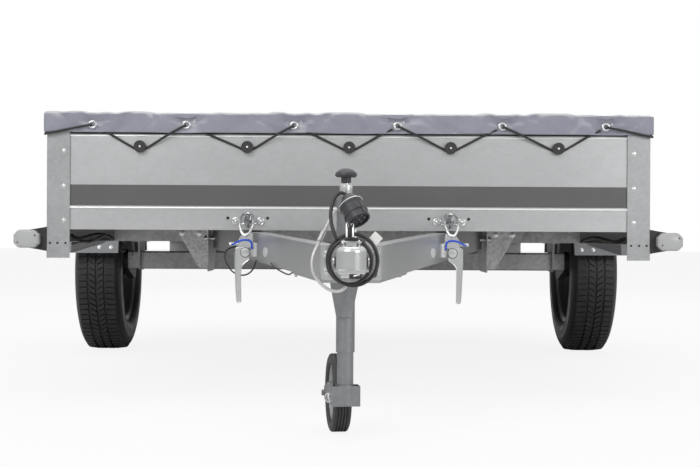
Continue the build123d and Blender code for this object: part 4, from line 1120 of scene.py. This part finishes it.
wires = {  # points, radius, body and slot
    "armWire": (
        [
            (-178, -290, 338), (-170, -320, 330), (-155, -350, 322), (-136, -400, 315), (-128, -420, 317),
            (-122, -440, 323)
        ],
        0.0017, "drawbar", "cable_black",
    ),
    "armClips": ([(-116, -450, 326), (-116, -450, 312)], 0.0030, "drawbar", "bright_zinc"),
    "armClipRight": ([(108, -450, 326), (108, -450, 312)], 0.0030, "drawbar", "bright_zinc"),
    "guardWireLeft": (
        [
            (-706, 1150, 400), (-716, 1120, 388), (-730, 1100, 370), (-742, 1090, 352), (-740, 1080, 340),
            (-725, 1080, 345)
        ],
        0.0022, "trailer", "cable_black",
    ),
    "guardWireLower": (
        [
            (-760, 1060, 400), (-745, 1055, 382), (-722, 1050, 372), (-704, 1050, 358), (-694, 1050, 340),
            (-700, 1050, 330)
        ],
        0.0018, "trailer", "cable_black",
    ),
    "sideHarnessLeft": (
        [
            (-700, 62, 398), (-690, 100, 388), (-676, 150, 396), (-655, 190, 402), (-632, 200, 398),
            (-618, 200, 388)
        ],
        0.0042, "trailer", "cable_black",
    ),
    "sideHarnessLow": (
        [(-700, 64, 376), (-682, 80, 384), (-664, 110, 380), (-640, 120, 392), (-622, 120, 400)],
        0.0036, "trailer", "cable_black",
    ),
    "sideHarnessRight": (
        [(700, 62, 396), (688, 100, 386), (672, 150, 392), (650, 190, 400), (628, 200, 394), (612, 200, 386)],
        0.0042, "trailer", "cable_black",
    ),
}
for name, (spots, radius, body, slotName) in wires.items():
    settle(strand([at(*spot) for spot in spots], radius), name, finishes[slotName], body, 60)

corner = {
    "radius": 0.003,
    "eyelets": ((-1, -636), (1, 637)),
    "front": [(700, -12, 660), (744, -11, 650.5), (753, -8, 649.5), (755, 2, 649.5)],
    "side": [(761, 30, 652.5), (764.5, 60, 659), (764.5, 110, 669), (763.5, 130, 673)],
}
ends = []
# the lacing goes round the front corners to the first eyelet of each side
for sign, eyeletX in corner["eyelets"]:
    run = [at(eyeletX, -11, 673), at(eyeletX + sign * 20, -13, 669)]
    run += [at(sign * x, y, z) for x, y, z in corner["front"] + corner["side"]]
    ends.append(strand(run, corner["radius"]))
settle(joined(ends), "cornerCords", finishes["elastic_cord"], "trailer", 60)

panelEdge = {
    "half": 693, "rim": (4.6, 646.0, 0.0024), "rib": (3.4, 467.6, 0.0027), "shade": (3.7, 650.0, 4.2, 654.5)
}


# a pale bar across the front panel, coloured to paint the highlight on a bend
def acrossPanel(name, y, z, radius):
    strip = bar(at(-panelEdge["half"], y, z), at(panelEdge["half"], y, z), radius, 16)
    settle(strip, name, paleZincAndHighlight, "trailer")


# the rolled top rim, pale to paint its highlight
acrossPanel("panelRim", *panelEdge["rim"])
# painted shadow: a dark strip on the panel top under the cover hem
frontEdge, lowEdge, backEdge, highEdge = panelEdge["shade"]
strip = block(at(-panelEdge["half"], frontEdge, lowEdge), at(panelEdge["half"], backEdge, highEdge))
settle(strip, "panelRimShade", darkSteelAndShade, "trailer")
# painted highlight along the crest of the rib under the stripe
acrossPanel("ribCrestHighlight", *panelEdge["rib"])
# dark discs just behind the holes: painted shade inside them
holes = [(x, 5.3, 443, 0.0041) for x in (-301, -202, 199, 298)]
holes += [(sign * x, 1.7, 379, 0.0031) for sign in (-1, 1) for x in (741.5, 723, 703)]
holeShadeDiscs = [bar(at(x, y, z), at(x, y + 0.4, z), radius, 24) for x, y, z, radius in holes]
settle(joined(holeShadeDiscs), "holeShades", darkSteelAndShade, "trailer")
print("fittings set")

tread = {
    "count": 84,
    "gap": 0.0042,
    "base": 0.2660,
    "top": 0.2742,
    "ribs": (
        (-0.061, -0.0305, 0.10), (-0.0235, -0.0035, -0.55), (0.0035, 0.0235, 0.55), (0.0305, 0.061, -0.10)
    ),
    "sidewall": [
        (164.4, 52), (176, 58.4), (184, 66), (193, 73.0), (202, 76.4), (205, 77.6), (208, 76.9), (232, 76.6),
        (236, 77.0), (240, 75.6), (250, 73), (260, 68), (265, 63.5), (268, 60),
    ],
}


def treadRow():
    long = 2 * math.pi * tread["top"] / tread["count"] - tread["gap"]
    lugs = []
    for low, high, lean in tread["ribs"]:
        lug = block((low, -long / 2, tread["base"]), (high, long / 2, tread["top"]))
        for vertex in lug.data.vertices:
            vertex.co.y += lean * (vertex.co.x - (low + high) / 2)
            if abs(vertex.co.x) > 0.05 and vertex.co.z > 0.27:
                vertex.co.z -= 0.0035
        lugs.append(soften(lug, 0.0006, 1))
    return joined(lugs)


def tyrePiece(side, sign):
    half = tread["sidewall"]
    outline = inMetres(half + [(r, -w) for r, w in half[::-1]] + half[:1])
    carcass = moved(lathe(outline, 120), (0, 0, 0), (1, 0, 0))
    row = treadRow()
    rows = [
        copyTo(row, Matrix.Rotation(2 * math.pi * n / tread["count"], 4, "X")) for n in range(tread["count"])
    ]
    discard(row)
    whole = moved(joined([carcass] + rows), at(sign * wheel["x"], wheel["y"], wheel["z"]))
    settle(whole, "tyre" + side.capitalize(), finishes["tyre_rubber"], "wheel_" + side)
    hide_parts("tyre_" + side)


tyrePiece("left", -1)
tyrePiece("right", 1)

jockey = {
    "centre": (-23.6, -586.9, 80),
    "turn": 7.5,
    "grooves": (-9, -3, 3, 9),
    "side": [(58.7, 12), (61, 16.5), (67, 18.8), (74, 18.4), (78.5, 16.2), (80, 13.4)],
    "rim": [
        (6.4, -23), (20, -23), (22, -21), (24, -7), (52, -6), (56, -12.5), (59, -12.5), (59, 12.5),
        (56, 12.5), (52, 6), (24, 7), (22, 21), (20, 23), (6.4, 23), (6.4, -23),
    ],
    "sleeve": [(17.2, 0), (19.2, 2), (19.2, 41.5), (17.2, 41.5), (17.2, 0)],
}
jack = {"x": -10, "y": -690, "boss": 12.9, "stem": 6.6}


def jockeyPieces():
    angle = math.radians(jockey["turn"])
    axis = (math.cos(angle), math.sin(angle), 0)
    centre = at(*jockey["centre"])
    side = jockey["side"]
    outline = [(r, -w) for r, w in side]
    for spot in jockey["grooves"]:
        outline += [(80, spot - 1.1), (77.2, spot - 0.7), (77.2, spot + 0.7), (80, spot + 1.1)]
    outline += side[::-1] + [(58.7, -12)]
    tyre = moved(lathe(inMetres(outline), 72), centre, axis)
    settle(tyre, "jockeyTyre", finishes["solid_tyre"], "jockey_wheel")
    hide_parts("jockey_wheel")
    rimPiece = moved(lathe(inMetres(jockey["rim"]), 60), centre, axis)
    settle(rimPiece, "jockeyRim", tubeZinc, "jockey_wheel")


def jackPieces():
    x, y = jack["x"], jack["y"]
    sleeve = moved(lathe(inMetres(jockey["sleeve"]), 48), at(x, y, 66.5))
    settle(sleeve, "forkSleeve", jackZinc, "jack_fork")
    ringPiece = moved(hoop(0.0085, 0.0011), at(-42, -708.5, 84), (0.35, -0.94, 0.1))
    pinPiece = bar(at(-44, -707, 92), at(-40, -707, 74), 0.0022, 16, 0.0004)
    settle(joined([ringPiece, pinPiece]), "lynchPin", brightZinc, "jack_fork")
    pair = [block(at(x + low, y - 10, 486), at(x + low + 6, y + 10, 503), 0.0008) for low in (-10, 4)]
    pair.append(bar(at(x - 12, y, 492), at(x + 12, y, 492), 0.0026, 16, 0.0004))
    pair.append(bar(at(x, y, 484.6), at(x, y, 500.4), jack["boss"] / 1000, 36, 0.0004))
    pair.append(bar(at(x, y, 500), at(x, y, 505), jack["stem"] / 1000, 36, 0.0004))
    settle(joined(pair), "crankFork", brightZinc, "drawbar")


jockeyPieces()
jackPieces()
print("wheels shaped")

tail = {"x": 615, "z": 327, "wide": 210, "high": 80, "rear": 2384.3, "depth": 42}


def tailPieces():
    frames, ambers, marks = [], [], []
    y, rear = tail["rear"], tail["rear"] - tail["depth"]
    half, low, high = tail["wide"] / 2, tail["z"] - tail["high"] / 2, tail["z"] + tail["high"] / 2
    for sign in (-1, 1):
        x = sign * tail["x"]
        frames.append(
            block(at(x - half - 2, rear + 1, low - 2), at(x + half + 2, rear + 16, high + 2), 0.003)
        )
        for shift in (-0.34, 0.30):
            seam = x + shift * tail["wide"]
            frames.append(block(at(seam - 1.5, y - 14, low + 4), at(seam + 1.5, y + 0.8, high - 4), 0.0005))
        outer = x + sign * 0.40 * tail["wide"]
        ambers.append(block(at(outer - 14, y - 10, low + 7), at(outer + 14, y + 0.9, high - 7), 0.002))
        for along in (-58, -24, 10):
            spot = at(x + sign * along, y + 0.5, tail["z"])
            marks.append(bar(spot - Vector((0, 0.006, 0)), spot + Vector((0, 0.0006, 0)), 0.013, 32, 0.0006))
    settle(joined(frames), "tailLampFrames", blackPlastic, "trailer")
    settle(joined(ambers), "tailLampAmbers", amberLens, "trailer")
    settle(joined(marks), "tailLampRounds", finishes["tail_lens"], "trailer")
    plate = block(at(-260, rear - 0.2, 286), at(260, rear + 2, 366), 0.002)
    settle(plate, "numberPlateBack", blackPlastic, "trailer")
    glow = block(at(-30, 2338, 368), at(30, 2368, 384), 0.003)
    settle(glow, "numberPlateLamp", blackPlastic, "trailer")


tailPieces()

sideScrews = [(at(x, y, 437), (x, 0, 0)) for x in (-745.9, 745.9) for y in (260, 620, 980, 1820, 2100)]
placeAll(dome, sideScrews, screw["post"], "sideScrews", brightZinc, "trailer")
gateScrews = [(at(x, 2356, 440), rearward) for x in (-492, -468, -12, 12, 468, 492)]
placeAll(dome, gateScrews, screw["post"], "gateScrews", brightZinc, "tailgate")
band = block(at(-686, 2355.6, stripe["low"] * 1000), at(686, 2356.15, stripe["high"] * 1000))
settle(band, "gateStripe", stripePaint, "tailgate")

archBolts, guardFrontBolts, shadeTriangles = [], [], []
for sign in (-1, 1):
    for turn in (35, 90, 145):
        angle = math.radians(turn)
        archBolts.append(
            (roundWheel(sign * 770, wheel["guard"], turn), (0, math.cos(angle), math.sin(angle)))
        )
    guardFrontBolts += [(at(sign * x, 1071.6, 357), wheel["guardFrontFacing"]) for x in (771, 809)]
guardBolts = copiesAt(dome, archBolts, screw["guard"]) + copiesAt(dome, guardFrontBolts, screw["post"])
settle(joined(guardBolts), "guardBolts", brightZinc, "trailer", 40)
print("rear finished")

for sign in (-1, 1):  # painted shade: a thin dark triangle laid on the front of each mudguard
    outline = inMetres([(sign * u, v) for u, v in wheel["shadeTriangle"]][::sign])
    shadeTriangles.append(moved(flatPlate(outline, 0.001), at(sign * 838, 1070.4, 357.5), wheel["guardFrontFacing"]))
settle(joined(shadeTriangles), "guardShadeTriangles", blackPlastic, "trailer")

discard(dome)
discard(nut)
